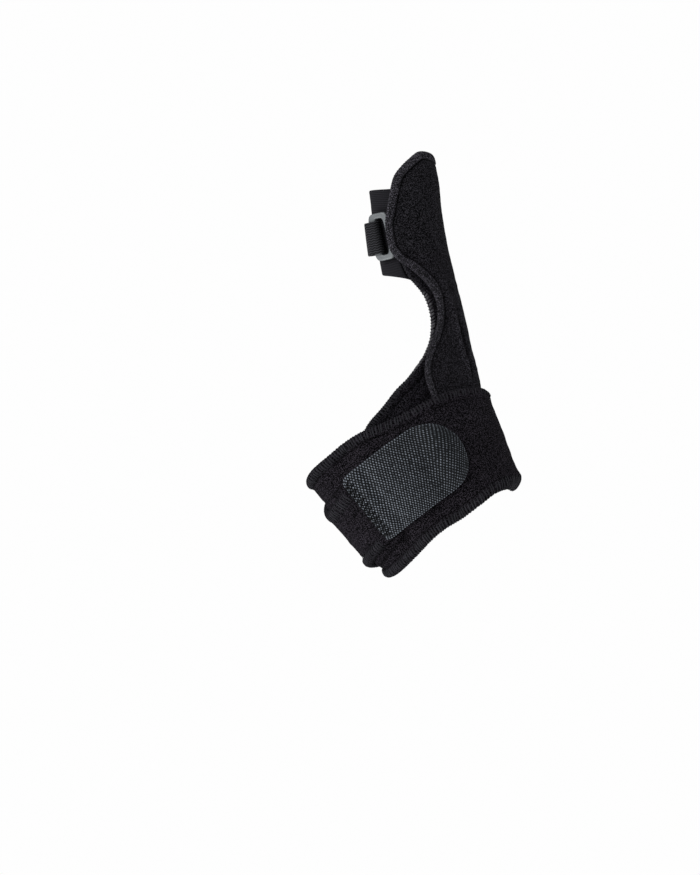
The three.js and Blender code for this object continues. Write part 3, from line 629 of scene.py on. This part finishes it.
def brushed_loop_group():
    """Brushed loop cloth: tufts, round loops, a finer nap, slow patches of shade and stray hairs."""
    g, gin, gout = group("brushed_loop", {"Vector": None, "Tuft": 1.0}, ["Shade", "Height", "Lint"])
    place = gin["Vector"]
    tuft = noise(g, place, 2350.0, 1.0)
    cells = {"Vector": place, "Scale": 1900.0, "Randomness": 1.0}
    loops = minus(g, 0.75, node(g, "ShaderNodeTexVoronoi", cells).outputs["Distance"])
    high = times(g, plus(g, times(g, tuft, 0.9), times(g, loops, 0.6)), gin["Tuft"])
    nap, slow = noise(g, place, 5200.0, 2.0, 0.6), noise(g, place, 95.0, 3.0, 0.55)
    feed(g, gout, {
        "Shade": plus(g, times(g, between(g, tuft, 0.45, 0.585), 0.8), times(g, slow, 0.26)),
        "Height": plus(g, high, times(g, nap, 0.25)),
        "Lint": between(g, noise(g, place, 760.0, 5.0, 0.7), 0.67, 0.74),
    })
    return g


def painted_edge_light_group():
    """Painted light and shade beside an edge: 1, more on the roll, a painted highlight that is partly lint,
    and most of all towards the thumb's tip, painted light from above; less in the groove beside it,
    painted shade; more on a fold's crest and less in its groove, painted highlight and shade from the
    relief. Rim and Roll are in millimetres."""
    inputs = {"Vector": None, "Rim": 0.0, "Relief": 0.0, "Roll": 4.2, "Roll highlight": 0.1, "Groove shade": 0.5}
    g, gin, gout = group("painted_edge_light", inputs, ["Tone"])
    up = node(g, "ShaderNodeSeparateXYZ", {0: gin["Vector"]}).outputs["Z"]
    # Painted highlight on the rolled edge, partly lint on its fuzz
    highlit_roll = between(g, gin["Rim"], plus(g, gin["Roll"], 0.1), minus(g, gin["Roll"], 0.7))
    # Painted light from above: the roll grows brighter higher up, towards the thumb's tip
    highlit_roll = times(g, highlit_roll, between(g, up, 0.055, 0.085, 0.6, 1.0))
    off_groove = maths(g, "ABSOLUTE", minus(g, gin["Rim"], plus(g, gin["Roll"], 0.2)))
    # Painted highlight on the fold's crest and painted shade in its groove, from the relief
    ridge = between(g, gin["Relief"], -0.6, 0.8, -0.75, 0.8)
    tone = plus(g, 1.0, times(g, highlit_roll, gin["Roll highlight"]))
    # Painted shade: darker in the groove just inside the roll
    tone = minus(g, tone, times(g, between(g, off_groove, 0.6, 0.0), gin["Groove shade"]))
    feed(g, gout, {"Tone": plus(g, tone, times(g, ridge, 0.8))})
    return g


def twist_group():
    """Spun thread: fine fibres, and wear that changes slowly from stitch to stitch."""
    g, gin, gout = group("thread_twist", {"Vector": None}, ["Shade", "Height"])
    fibre, worn = noise(g, gin["Vector"], 3800.0, 2.0), noise(g, gin["Vector"], 420.0, 2.0)
    feed(g, gout, {"Shade": plus(g, times(g, fibre, 0.55), times(g, worn, 0.45)), "Height": fibre})
    return g


def weave_group():
    """Plain weave on the UV map in millimetres: the product of a train of sine ridges across the
    tape, a little slanted, and a wider train along it, so that the crossings are short dashes set
    like bricks."""
    g, gin, gout = group("plain_weave", {"UV": None, "Pitch": 0.85}, ["Height", "Dot"])
    part = node(g, "ShaderNodeSeparateXYZ", {0: gin["UV"]}).outputs
    shift = times(g, noise(g, gin["UV"], 0.35, 1.0), 0.5)
    wide = plus(g, part["Y"], shift)
    long = plus(g, part["X"], times(g, wide, 0.22))
    ridges = maths(g, "SINE", times(g, maths(g, "DIVIDE", long, gin["Pitch"]), TAU))
    wider = maths(g, "SINE", times(g, maths(g, "DIVIDE", wide, gin["Pitch"]), TAU / 1.4))
    high = plus(g, times(g, times(g, ridges, wider), 0.5), 0.5)
    feed(g, gout, {"Height": high, "Dot": between(g, high, 0.46, 0.9)})
    return g


def rib_group():
    """Rows that may wave: a sine across, its phase bent by a wave along. Straight rows are knit
    ribs, waved ones the chevrons of a woven elastic. UV and the rows are in millimetres."""
    inputs = {"UV": None, "Vector": None, "Row": 0.9, "Wave": 3.6, "Bend": 0.5}
    g, gin, gout = group("waved_rows", inputs, ["Shade", "Height"])
    part = node(g, "ShaderNodeSeparateXYZ", {0: gin["UV"]}).outputs
    wave = maths(g, "PINGPONG", maths(g, "DIVIDE", part["X"], gin["Wave"]), 0.5)
    bend = times(g, wave, times(g, gin["Bend"], 2.0))
    rows = maths(g, "SINE", times(g, maths(g, "DIVIDE", plus(g, part["Y"], bend), gin["Row"]), TAU))
    yarn = maths(g, "SINE", times(g, part["X"], TAU / 0.42))
    fine = noise(g, gin["Vector"], 2600.0, 2.0)
    feed(g, gout, {
        "Shade": plus(g, times(g, between(g, rows, -0.3, 0.9), 0.75), times(g, fine, 0.3)),
        "Height": plus(g, times(g, rows, 0.5), times(g, yarn, 0.14)),
    })
    return g


BRUSHED = brushed_loop_group()
PAINTED_EDGE_LIGHT = painted_edge_light_group()
TWIST = twist_group()
WEAVE = weave_group()
ROWS = rib_group()


def new_material(name):
    """Material with one shader: the material, its tree, the shader and the coordinates' outputs."""
    m = bpy.data.materials.new(name)
    m.use_nodes = True
    t = m.node_tree
    t.nodes.clear()
    out = t.nodes.new("ShaderNodeOutputMaterial")
    bsdf = t.nodes.new("ShaderNodeBsdfPrincipled")
    t.links.new(bsdf.outputs[0], out.inputs[0])
    return m, t, bsdf, t.nodes.new("ShaderNodeTexCoord").outputs


def add_group(t, g, sockets):
    return node(t, "ShaderNodeGroup", sockets, node_tree=g).outputs


def attribute(t, name):
    return node(t, "ShaderNodeAttribute", {}, attribute_name=name).outputs["Fac"]


def ramp(t, value, stops):
    """Colour that goes from stop to stop as the value grows."""
    r = node(t, "ShaderNodeValToRGB", {"Fac": value})
    while len(r.color_ramp.elements) < len(stops):
        r.color_ramp.elements.new(0.5)
    for e, (at, colour) in zip(r.color_ramp.elements, stops):
        e.position = at
        e.color = (*colour, 1)
    return r.outputs["Color"]


def bump(t, height, strength, deep):
    return node(t, "ShaderNodeBump", {"Height": height, "Strength": strength, "Distance": deep}).outputs[0]


def shades(colour, *factors):
    """The colour times each factor."""
    return [tuple(f * c for c in colour) for f in factors]


def brushed_cloth(
    name, dark, light, light_end=5.5, tuft=1.0, roll=ROLL_WIDTH, roll_highlight=0.1, groove_shade=0.5,
):
    """Black brushed loop cloth with a painted highlight, partly lint, where the edge is rolled, painted
    shade in the groove beside it, and painted highlight and shade over a fold's relief where it has one.
    Its tufts' tips are light_end times the light colour."""
    m, t, bsdf, coords = new_material(name)
    loop = add_group(t, BRUSHED, {"Vector": coords["Object"], "Tuft": tuft})
    edge = add_group(t, PAINTED_EDGE_LIGHT, {
        "Vector": coords["Object"], "Rim": attribute(t, "rim_mm"), "Relief": attribute(t, "relief"),
        "Roll": roll, "Roll highlight": roll_highlight, "Groove shade": groove_shade,
    })
    base = ramp(t, loop["Shade"], [(0.14, dark), (0.45, light), (0.92, *shades(light, light_end))])
    lint = {0: times(t, loop["Lint"], 0.22), 6: base, 7: (0.09, 0.09, 0.1, 1)}
    base = node(t, "ShaderNodeMix", lint, data_type="RGBA").outputs[2]
    toned = node(t, "ShaderNodeVectorMath", {0: base, "Scale": edge["Tone"]}, operation="SCALE")
    feed(t, bsdf, {
        "Base Color": toned.outputs[0],
        "Normal": bump(t, loop["Height"], 1.0, 0.0006),
        "Roughness": 0.92, "Specular IOR Level": 0.02,
        "Sheen Weight": 0.008, "Sheen Roughness": 0.55, "Sheen Tint": (0.62, 0.62, 0.68, 1),
    })
    return m


def thread_material(name, colour):
    """Spun thread, slightly glossy, from half to 1.6 times its colour."""
    m, t, bsdf, coords = new_material(name)
    twist = add_group(t, TWIST, {"Vector": coords["Object"]})
    worn, fresh = shades(colour, 0.5, 1.6)
    feed(t, bsdf, {
        "Base Color": ramp(t, twist["Shade"], [(0.36, worn), (0.64, fresh)]),
        "Normal": bump(t, twist["Height"], 0.4, 0.0003),
        "Roughness": 0.72, "Specular IOR Level": 0.07,
        "Sheen Weight": 0.015, "Sheen Tint": (0.7, 0.7, 0.75, 1),
    })
    return m


def hook_tape_material():
    """Woven hook tape, blue-grey, pale where the yarns cross over, with a painted highlight along the rim
    and painted shade that darkens it a little towards the round end."""
    m, t, bsdf, coords = new_material("hook_tape")
    weave = add_group(t, WEAVE, {"UV": coords["UV"], "Pitch": 1.06})
    from_end = node(t, "ShaderNodeSeparateXYZ", {0: coords["UV"]}).outputs["X"]
    # Painted highlight along the rim, kept off the sewn end
    rim_highlight = times(t, between(t, attribute(t, "rim_mm"), 0.75, 0.1), between(t, from_end, 0.8, 1.8))
    bright = between(t, noise(t, coords["Object"], 1050.0, 2.0), 0.3, 0.7, 0.45, 1.2)
    value = plus(t, times(t, weave["Dot"], bright), times(t, rim_highlight, 0.25))
    # Painted shade: darker towards the round end
    value = times(t, value, between(t, from_end, 12.0, 42.0, 1.06, 0.72))
    stops = [(0.0, (0.0022, 0.0025, 0.0032)), (0.35, (0.012, 0.0135, 0.016)), (1.0, (0.155, 0.173, 0.2))]
    feed(t, bsdf, {
        "Base Color": ramp(t, value, stops), "Normal": bump(t, weave["Height"], 0.55, 0.0004),
        "Roughness": 0.65, "Specular IOR Level": 0.08,
    })
    return m


def row_cloth(name, dark, light, row, wave, bend, strength, rough):
    """Elastic with rows, straight or waved."""
    m, t, bsdf, coords = new_material(name)
    sockets = {"UV": coords["UV"], "Vector": coords["Object"], "Row": row, "Wave": wave, "Bend": bend}
    rows = add_group(t, ROWS, sockets)
    feed(t, bsdf, {
        "Base Color": ramp(t, rows["Shade"], [(0.1, dark), (0.9, light)]),
        "Normal": bump(t, rows["Height"], strength, 0.0004),
        "Roughness": rough, "Specular IOR Level": 0.08,
        "Sheen Weight": 0.015, "Sheen Tint": (0.6, 0.6, 0.68, 1),
    })
    return m


def ring_material():
    """Satin moulded plastic with a slow mottle and fine scuffs."""
    m, t, bsdf, coords = new_material("ring_plastic")
    mottle, scuff = noise(t, coords["Object"], 160.0, 4.0), noise(t, coords["Object"], 1800.0, 3.0)
    feed(t, bsdf, {
        "Base Color": ramp(t, mottle, [(0.3, (0.064, 0.071, 0.076)), (0.7, (0.092, 0.1, 0.106))]),
        "Roughness": between(t, scuff, 0.0, 1.0, 0.38, 0.56),
        "Normal": bump(t, scuff, 0.08, 0.0002), "Specular IOR Level": 0.5,
    })
    return m


BODY_CLOTH = brushed_cloth(
    "body_cloth", (0.0006, 0.0005, 0.0007), (0.0038, 0.0035, 0.0044), roll=BODY_ROLL_WIDTH,
)
# The panel's rolled edge takes a strong painted highlight and its groove a deep painted shade
PANEL_CLOTH = brushed_cloth(
    "panel_cloth", (0.0015, 0.0014, 0.0018), (0.0057, 0.0054, 0.0065), light_end=4.5, roll=PANEL_ROLL_WIDTH,
    roll_highlight=1.9, groove_shade=0.8,
)
BELT_CLOTH = brushed_cloth(
    "belt_cloth", (0.0004, 0.0003, 0.0005), (0.0038, 0.0033, 0.0042), light_end=7, tuft=1.15,
)
EDGE_THREAD = thread_material("edge_thread", (0.0118, 0.0116, 0.014))
PANEL_THREAD = thread_material("panel_thread", (0.009, 0.009, 0.01))
# Paler copy of the edge thread for the notch: a painted highlight
LIT_NOTCH_THREAD = thread_material("lit_notch_thread", (0.042, 0.041, 0.045))
TACK_THREAD = thread_material("tack_thread", (0.0006, 0.0006, 0.0008))
HOOK_TAPE = hook_tape_material()
SLEEVE_KNIT = row_cloth(
    "sleeve_knit", (0.0033, 0.0032, 0.004), (0.0118, 0.0113, 0.0142),
    row=0.85, wave=50.0, bend=0.0, strength=0.35, rough=0.85,
)
STRAP_ELASTIC = row_cloth(
    "strap_elastic", (0.002, 0.002, 0.0024), (0.027, 0.027, 0.031),
    row=1.0, wave=2.1, bend=0.42, strength=0.8, rough=0.75,
)
RING_PLASTIC = ring_material()


# Pieces
def dress(piece, solid=None):
    """Let a piece ride on the splint's one body and stand for a solid."""
    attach(piece, "root")
    if solid:
        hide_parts(solid)
    return piece


def lowest_floor(s, turn):
    """Rise of the layers that lie straight on the form."""
    return np.full(np.shape(s), SKIN_GAP)


def in_notch(s, turn):
    """True on the back edge of the body in the hollow beside the thumb's root."""
    return (s > distance(4.75)) & (s < distance(6.9)) & (turn > 0)


def make_body():
    """Trough and wing. The edge's hump is high on the wing and low from the notch upward, and
    flat under the belt. Its stitches are wide on the wing and narrow on the thumb; in the notch they
    take a paler thread, a painted highlight."""
    roll = BODY_ROLL_WIDTH

    def puff(s, turn, d):
        high = WING_BEAD + (NOTCH_BEAD - WING_BEAD) * smooth(s, distance(4.3), distance(5.1))
        return (1 - under_belt(s)) * (high * bead(d, roll) - 0.35 * groove(d, roll))

    def needle_line(s, turn):
        return roll - (roll - 1.3) * smooth(s, distance(4.3), distance(4.9))

    sides = by_rib(BODY_LOWER, BODY_UPPER, BODY_DORSAL, BODY_PALMAR)
    cloth = Cloth(*sides, lowest_floor, BODY_WALL, puff, nap=0.07)
    body = dress(cloth.build("body_cloth_layer", 0.9, roll, BODY_CLOTH), "thumb_body")
    edge = overlock(
        "body_overlock", cloth, ("left", "right", "upper"), 1.05, EDGE_THREAD, 11, needle_line, bar=0.33,
        where=lambda s, turn: ~in_notch(s, turn),
    )
    dress(edge)
    # The notch's stitches take the paler thread, a painted highlight
    notch = overlock(
        "notch_overlock", cloth, ("left",), 1.25, LIT_NOTCH_THREAD, 17, lambda s, turn: np.full(len(s), 1.1),
        bar=0.46, where=in_notch,
    )
    dress(notch)


def panel_roll(s):
    """Width of the panel's rolled edge, narrower below the thumb's root."""
    return PANEL_ROLL_BELOW + (PANEL_ROLL_WIDTH - PANEL_ROLL_BELOW) * smooth(s, distance(6.4), distance(7.3))


def make_panel():
    """Outer layer. The edge's hump grows with the roll's width and sinks at the tip's thumb side,
    the fold fades out on the roll, and both are flat under the belt."""
    def puff(s, turn, d):
        tip = smooth(s, distance(10), distance(10.4)) * (1 - smooth(turn, 2, 30))
        width = panel_roll(s)
        high = PANEL_BEAD * (0.4 + 0.6 * width / PANEL_ROLL_WIDTH)
        roll = high * (1 - 0.8 * tip) * bead(d, width) - 0.5 * groove(d, width)
        return (1 - under_belt(s)) * (roll + fold(s, turn) * smooth(d, 0, width))

    sides = by_rib(PANEL_LOWER, PANEL_UPPER, PANEL_DORSAL, PANEL_PALMAR)
    cloth = Cloth(*sides, lambda s, turn: PANEL_FLOOR + lift(s, turn), PANEL_WALL, puff, nap=0.09)
    spread = 1.3  # the grid is close a little further in than the roll
    # The fold's relief goes to the cloth's painted highlight and shade
    layer = cloth.build(
        "panel_cloth_layer", 0.3, PANEL_ROLL_WIDTH * spread, PANEL_CLOTH, step_up=0.75, relief=fold,
        widths=lambda s, turn: spread * panel_roll(s),
    )
    panel = dress(layer, "outer_panel")
    edge = overlock(
        "panel_overlock", cloth, ("left", "right", "upper"), 1.0, PANEL_THREAD, 12,
        lambda s, turn: 0.85 * panel_roll(s), bar=0.15,
    )
    dress(edge)


def low_half(s):
    """0 above the belt's middle line, 1 below it, eased over 12 mm."""
    return smooth(s, 6, -6)


def thumb_side(turn, start, end):
    """1 on the belt's thumb side, eased in from the back and out on the inner side."""
    return smooth(turn, start, end) * smooth(turn, -70, -30)


def belt_roll(s, turn):
    """Width and height of the belt's rolled edge, depth of the groove beside it and how softly it
    sinks: the roll widens on the thumb side below, and flattens there and on the narrow end's
    upper edge."""
    below = low_half(s)
    side = thumb_side(turn, 74, 30)
    narrow = smooth(turn, -135, -160) * (1 - below)
    width = ROLL_WIDTH * (1 + 0.5 * side * below)
    high = BELT_BEAD * (1 - (0.75 - 0.2 * below) * side) * (1 - 0.8 * narrow)
    return width, high * (1 - 0.25 * smooth(turn, 150, 180)), 0.45 * (1 - side), side


def make_belt():
    """The band round the wrist and over its own start. Its lower edge leans in on
    the thumb side, by an ease over 5.5 mm and the square of the way over the last 2.8 mm."""
    def puff(s, turn, d):
        free = smooth(turn, BELT_END + 6, BELT_END + 14)
        width, high, sunk, side = belt_roll(s, turn)
        hump = bead(d, width) * (1 - side) + soft_bead(d, width) * side
        return free * high * (hump - sunk * groove(d, width))

    def sink(s, turn, d):
        leaning = low_half(s) * thumb_side(turn, 42, 12)
        return leaning * (1.8 * (1 - smooth(d, 0, 5.5)) + 2.0 * (1 - np.clip(d / 2.8, 0, 1)) ** 2)

    cloth = Cloth(*course_edges(BELT_COURSE), belt_floor, BELT_WALL, puff, nap=0.1, sink=sink)
    belt = dress(cloth.build("belt_cloth_layer", 0.9, ROLL_WIDTH, BELT_CLOTH), "wrist_belt")
    edge = overlock(
        "belt_overlock", cloth, ("lower", "upper", "left"), 1.15, EDGE_THREAD, 13,
        lambda s, turn: 0.95 * np.minimum(belt_roll(s, turn)[0], 5.2),
        where=lambda s, turn: turn > BELT_END + 10,
    )
    dress(edge)


def make_tab():
    """The flat tab with one round end, and its tack: a zigzag thread over the sewn end and a
    straight one along it. The zigzag's way from the end is twice the distance from the middle of
    each turn."""
    lower, upper, left, _ = course_edges(TAB_COURSE)
    cloth = Cloth(lower, upper, left, by_level(TAB_ROUND), tab_floor, TAB_WALL)
    tab = dress(cloth.build("hook_tab_tape", 0.6, TAB_WALL * 1.2, HOOK_TAPE), "hook_tab")
    turns, near_end, reach, straight_line = 12, 0.2, 3.7, 0.12
    t = np.linspace(0, 1, turns * 8 + 1)
    zig = 2 * np.abs(((t * turns) % 1) - 0.5)
    u = np.stack([near_end + reach * zig, np.full_like(t, straight_line)]) / cloth.wide
    v = 0.06 + 0.88 * t
    outer, _, normal, _ = cloth.faces(u, np.stack([v, v]), rise=np.array([[0.24], [-0.05]]))
    dress(thread_tubes("tab_tack", outer, normal, 0.2, TACK_THREAD))


def make_sleeve():
    """The tube's open side lies under the panel's edges."""
    sides = by_rib(SLEEVE_LOWER, SLEEVE_UPPER, SLEEVE_DORSAL, SLEEVE_PALMAR)
    cloth = Cloth(*sides, lowest_floor, SLEEVE_WALL, nap=0.03)
    sleeve = cloth.build("sleeve_knit_tube", 0.8, SLEEVE_WALL * 1.2, SLEEVE_KNIT)
    dress(sleeve, "thumb_sleeve")


# The ring's directions and places: out from the thumb, across the ring, and its bars' edges
THUMB_AXIS = np.array([np.sin(THUMB_LEAN), 0, np.cos(THUMB_LEAN)])
THUMB_SIDE = np.array([np.cos(THUMB_LEAN), 0, -np.sin(THUMB_LEAN)])
BACKWARD = np.array([0, 1, 0])
RING_OUT = THUMB_SIDE * np.cos(RING_TURN) - BACKWARD * np.sin(RING_TURN)
RING_ACROSS = -THUMB_SIDE * np.sin(RING_TURN) - BACKWARD * np.cos(RING_TURN)
STRAP_FLOOR = SKIN_GAP + SLEEVE_WALL + PLY_GAP
RING_HEIGHT = 0.5 * THUMB_DEPTH + STRAP_FLOOR + STRAP_WALL + STRAP_PLAY
HELD_EDGE = -0.82 * RING_HELD_BAR
WINDOW_EDGE = HELD_EDGE + RING_HELD_BAR
CARRY_EDGE = WINDOW_EDGE + RING_WINDOW


def on_ring(along, across, out):
    """Place on the ring: along the thumb, across the ring, and out from its middle plane."""
    along, across, out = np.broadcast_arrays(*(np.asarray(x, float) for x in (along, across, out)))
    return (np.array([ROOT_OUT, THUMB_FORWARD, ROOT_UP]) + along[..., None] * THUMB_AXIS
            + across[..., None] * RING_ACROSS + (RING_HEIGHT + out)[..., None] * RING_OUT)


def pull(x, power):
    """A cosine or sine drawn towards 1 or -1 by a power."""
    return np.sign(x) * np.abs(x) ** power


def round_rect(angle, half_long, half_wide, round_off):
    """Rectangle with round corners: the cosine and sine of a circle, drawn outward."""
    power = 1 / (1 + 2 * (1 - round_off))
    return half_long * pull(np.cos(angle), power), half_wide * pull(np.sin(angle), power)


def make_ring():
    """A round-edged profile carried round the frame between the window's and the outer outline.
    Its own outline is a circle drawn outward by the power 0.6."""
    around, profile = 260, 24
    angle = ((np.arange(around) + 0.5) / around * TAU)[:, None]
    a = ((np.arange(profile) + 0.5) / profile * TAU)[None]
    window_edge = WINDOW_EDGE - WINDOW_SPARE
    middle = (window_edge + CARRY_EDGE) / 2
    outer_middle = (HELD_EDGE + CARRY_EDGE + RING_CARRY_BAR) / 2
    outer_half = (CARRY_EDGE + RING_CARRY_BAR - HELD_EDGE) / 2
    held = np.sin(angle) < 0
    half = (CARRY_EDGE - window_edge) / 2
    la, wa = round_rect(angle, RING_LENGTH / 2 - RING_BAR, half, np.where(held, 0.5, 0.12))
    lb, wb = round_rect(angle, RING_LENGTH / 2, outer_half, np.where(held, 0.15, 0.3))
    t = 0.5 - 0.5 * pull(np.cos(a), 0.6)
    out = RING_THICK / 2 * pull(np.sin(a), 0.6) + 0 * angle
    along = RING_START + RING_LENGTH / 2 + la + (lb - la) * t
    across = middle + wa + (outer_middle + wb - middle - wa) * t
    points = on_ring(along, across, out).reshape(-1, 3)
    quads = grid_quads(around, profile, wrap_rows=True, wrap_columns=True)
    dress(make_mesh("ring_frame", points, quads, RING_PLASTIC), "ring")


def strap_path(along):
    """Middle line of the strap at one height: round the pad side, through the window and back."""
    s = RIB_AT[6] + along
    near = STRAP_FLOOR + STRAP_WALL / 2
    far = near + STRAP_WALL + PLY_GAP
    clear = STRAP_WALL / 2 + STRAP_PLAY
    bar = RING_THICK / 2 + clear
    first = np.arange(282, 157.5, -1.9)
    inner = over(np.full(len(first), s), first, near)
    bend = np.radians(np.arange(270, 89, -7.5))
    hook = on_ring(along, CARRY_EDGE + RING_THICK / 2 + bar * np.cos(bend), bar * np.sin(bend))
    top = on_ring(along, CARRY_EDGE + np.array([RING_CARRY_BAR * 0.8, RING_CARRY_BAR + 0.5 * clear]), bar)
    back = np.arange(182, 264.1, 2.05)
    slack = STRAP_SLACK * (1 - smooth(along, RING_START, RING_START + RING_LENGTH))
    outer = over(np.full(len(back), s), back, far + 0.45 * STRAP_WALL * (1 - smooth(back, 170, 214)) + slack)
    path = np.vstack([inner, hook, top, outer])
    step = np.concatenate([[0], np.cumsum(np.linalg.norm(np.diff(path, axis=0), axis=1))])
    even = np.linspace(0, step[-1], 190)
    return np.stack([np.interp(even, step, path[:, k]) for k in range(3)], -1), step[-1]


def make_strap():
    """The strap's middle lines at 28 heights, smoothed along their length by the weights 1, 2, 1,
    and half the wall laid to both sides of them, less on the strap's edges."""
    inset = RING_BAR + 2.4 * STRAP_PLAY
    width = RING_LENGTH - 2 * inset
    t = np.concatenate([[0, 0.012, 0.035], np.linspace(0.07, 0.93, 22), [0.965, 0.988, 1]])
    rows = [strap_path(RING_START + inset + f * width) for f in t]
    path = np.stack([r[0] for r in rows])
    for _ in range(3):
        path[:, 1:-1] = 0.25 * path[:, :-2] + 0.5 * path[:, 1:-1] + 0.25 * path[:, 2:]
    length = np.mean([r[1] for r in rows])
    way = np.gradient(path, axis=1)
    side = np.cross(way, THUMB_AXIS)
    side /= np.linalg.norm(side, axis=-1, keepdims=True)
    edge = np.minimum(t, 1 - t) * width
    half = STRAP_WALL / 2 * (0.45 + 0.55 * np.sqrt(1 - (1 - np.clip(edge / 0.5, 0, 1)) ** 2))
    inner, outer = path + side * half[:, None, None], path - side * half[:, None, None]
    uv = np.stack(np.meshgrid(np.linspace(0, length, path.shape[1]), t * width), -1)
    strap = closed_pair("strap_band", inner, outer, uv, STRAP_ELASTIC)
    dress(strap, "thumb_strap")


for make_piece in (make_body, make_panel, make_belt, make_tab, make_sleeve, make_ring, make_strap):
    make_piece()

# Floor, light and camera
bpy.ops.mesh.primitive_circle_add(vertices=96, radius=0.9, fill_type="NGON", location=(0, 0, -0.42))
floor = bpy.context.active_object
floor.name = "pale_floor"
pale, tree, paint, _ = new_material("pale_floor")
feed(tree, paint, {"Base Color": (0.9, 0.9, 0.9, 1), "Roughness": 0.8})
floor.data.materials.append(pale)

# The world is nearly white where the camera sees it, and lights the splint less
bpy.context.scene.view_settings.view_transform = "Standard"
world = bpy.data.worlds.new("studio")
bpy.context.scene.world = world
world.use_nodes = True
sky = world.node_tree
seen = feed(sky, sky.nodes["Background"], {"Color": (1, 1, 1, 1), "Strength": 0.99})
soft = node(sky, "ShaderNodeBackground", {"Color": (1, 1, 1, 1), "Strength": 0.42})
by_camera = node(sky, "ShaderNodeLightPath", {}).outputs["Is Camera Ray"]
choice = node(sky, "ShaderNodeMixShader", {0: by_camera, 1: soft.outputs[0], 2: seen.outputs[0]})
sky.links.new(choice.outputs[0], sky.nodes["World Output"].inputs[0])


def area_light(name, place, aim, size, power):
    """Round soft light, turned towards what it lights."""
    data = bpy.data.lights.new(name, "AREA")
    data.shape = "DISK"
    data.size = size
    data.energy = power
    lamp = bpy.data.objects.new(name, data)
    bpy.context.scene.collection.objects.link(lamp)
    lamp.location = place
    lamp.rotation_euler = (Vector(aim) - Vector(place)).to_track_quat("-Z", "Y").to_euler()


centre = (0.0, 0.0, 0.03)
area_light("key", (-0.35, -0.75, 1.1), centre, 0.6, 17)
area_light("left", (-1.15, -0.35, 0.1), centre, 0.7, 13)
area_light("right", (1.0, -0.3, -0.35), centre, 0.6, 6)

camera_data = bpy.data.cameras.new("camera")
camera = bpy.data.objects.new("camera", camera_data)
bpy.context.scene.collection.objects.link(camera)
camera_data.lens = 200
camera_data.sensor_fit = "VERTICAL"
camera_data.sensor_height = 36
# The picture's right and up, and the way back to the camera from the middle of what it sees
right = Vector((0.7547, 0, -0.6561))
up = Vector((0.6561, 0, 0.7547))
back = Vector((0, -1, 0))
seen_height = 0.35875  # 875 pixels of 0.41 mm
away = seen_height * camera_data.lens / camera_data.sensor_height
place = Vector((-0.0086, -0.004, 0.031)) + back * away
camera.matrix_world = Matrix((
    (right.x, up.x, back.x, place.x), (right.y, up.y, back.y, place.y),
    (right.z, up.z, back.z, place.z), (0, 0, 0, 1),
))
bpy.context.scene.camera = camera
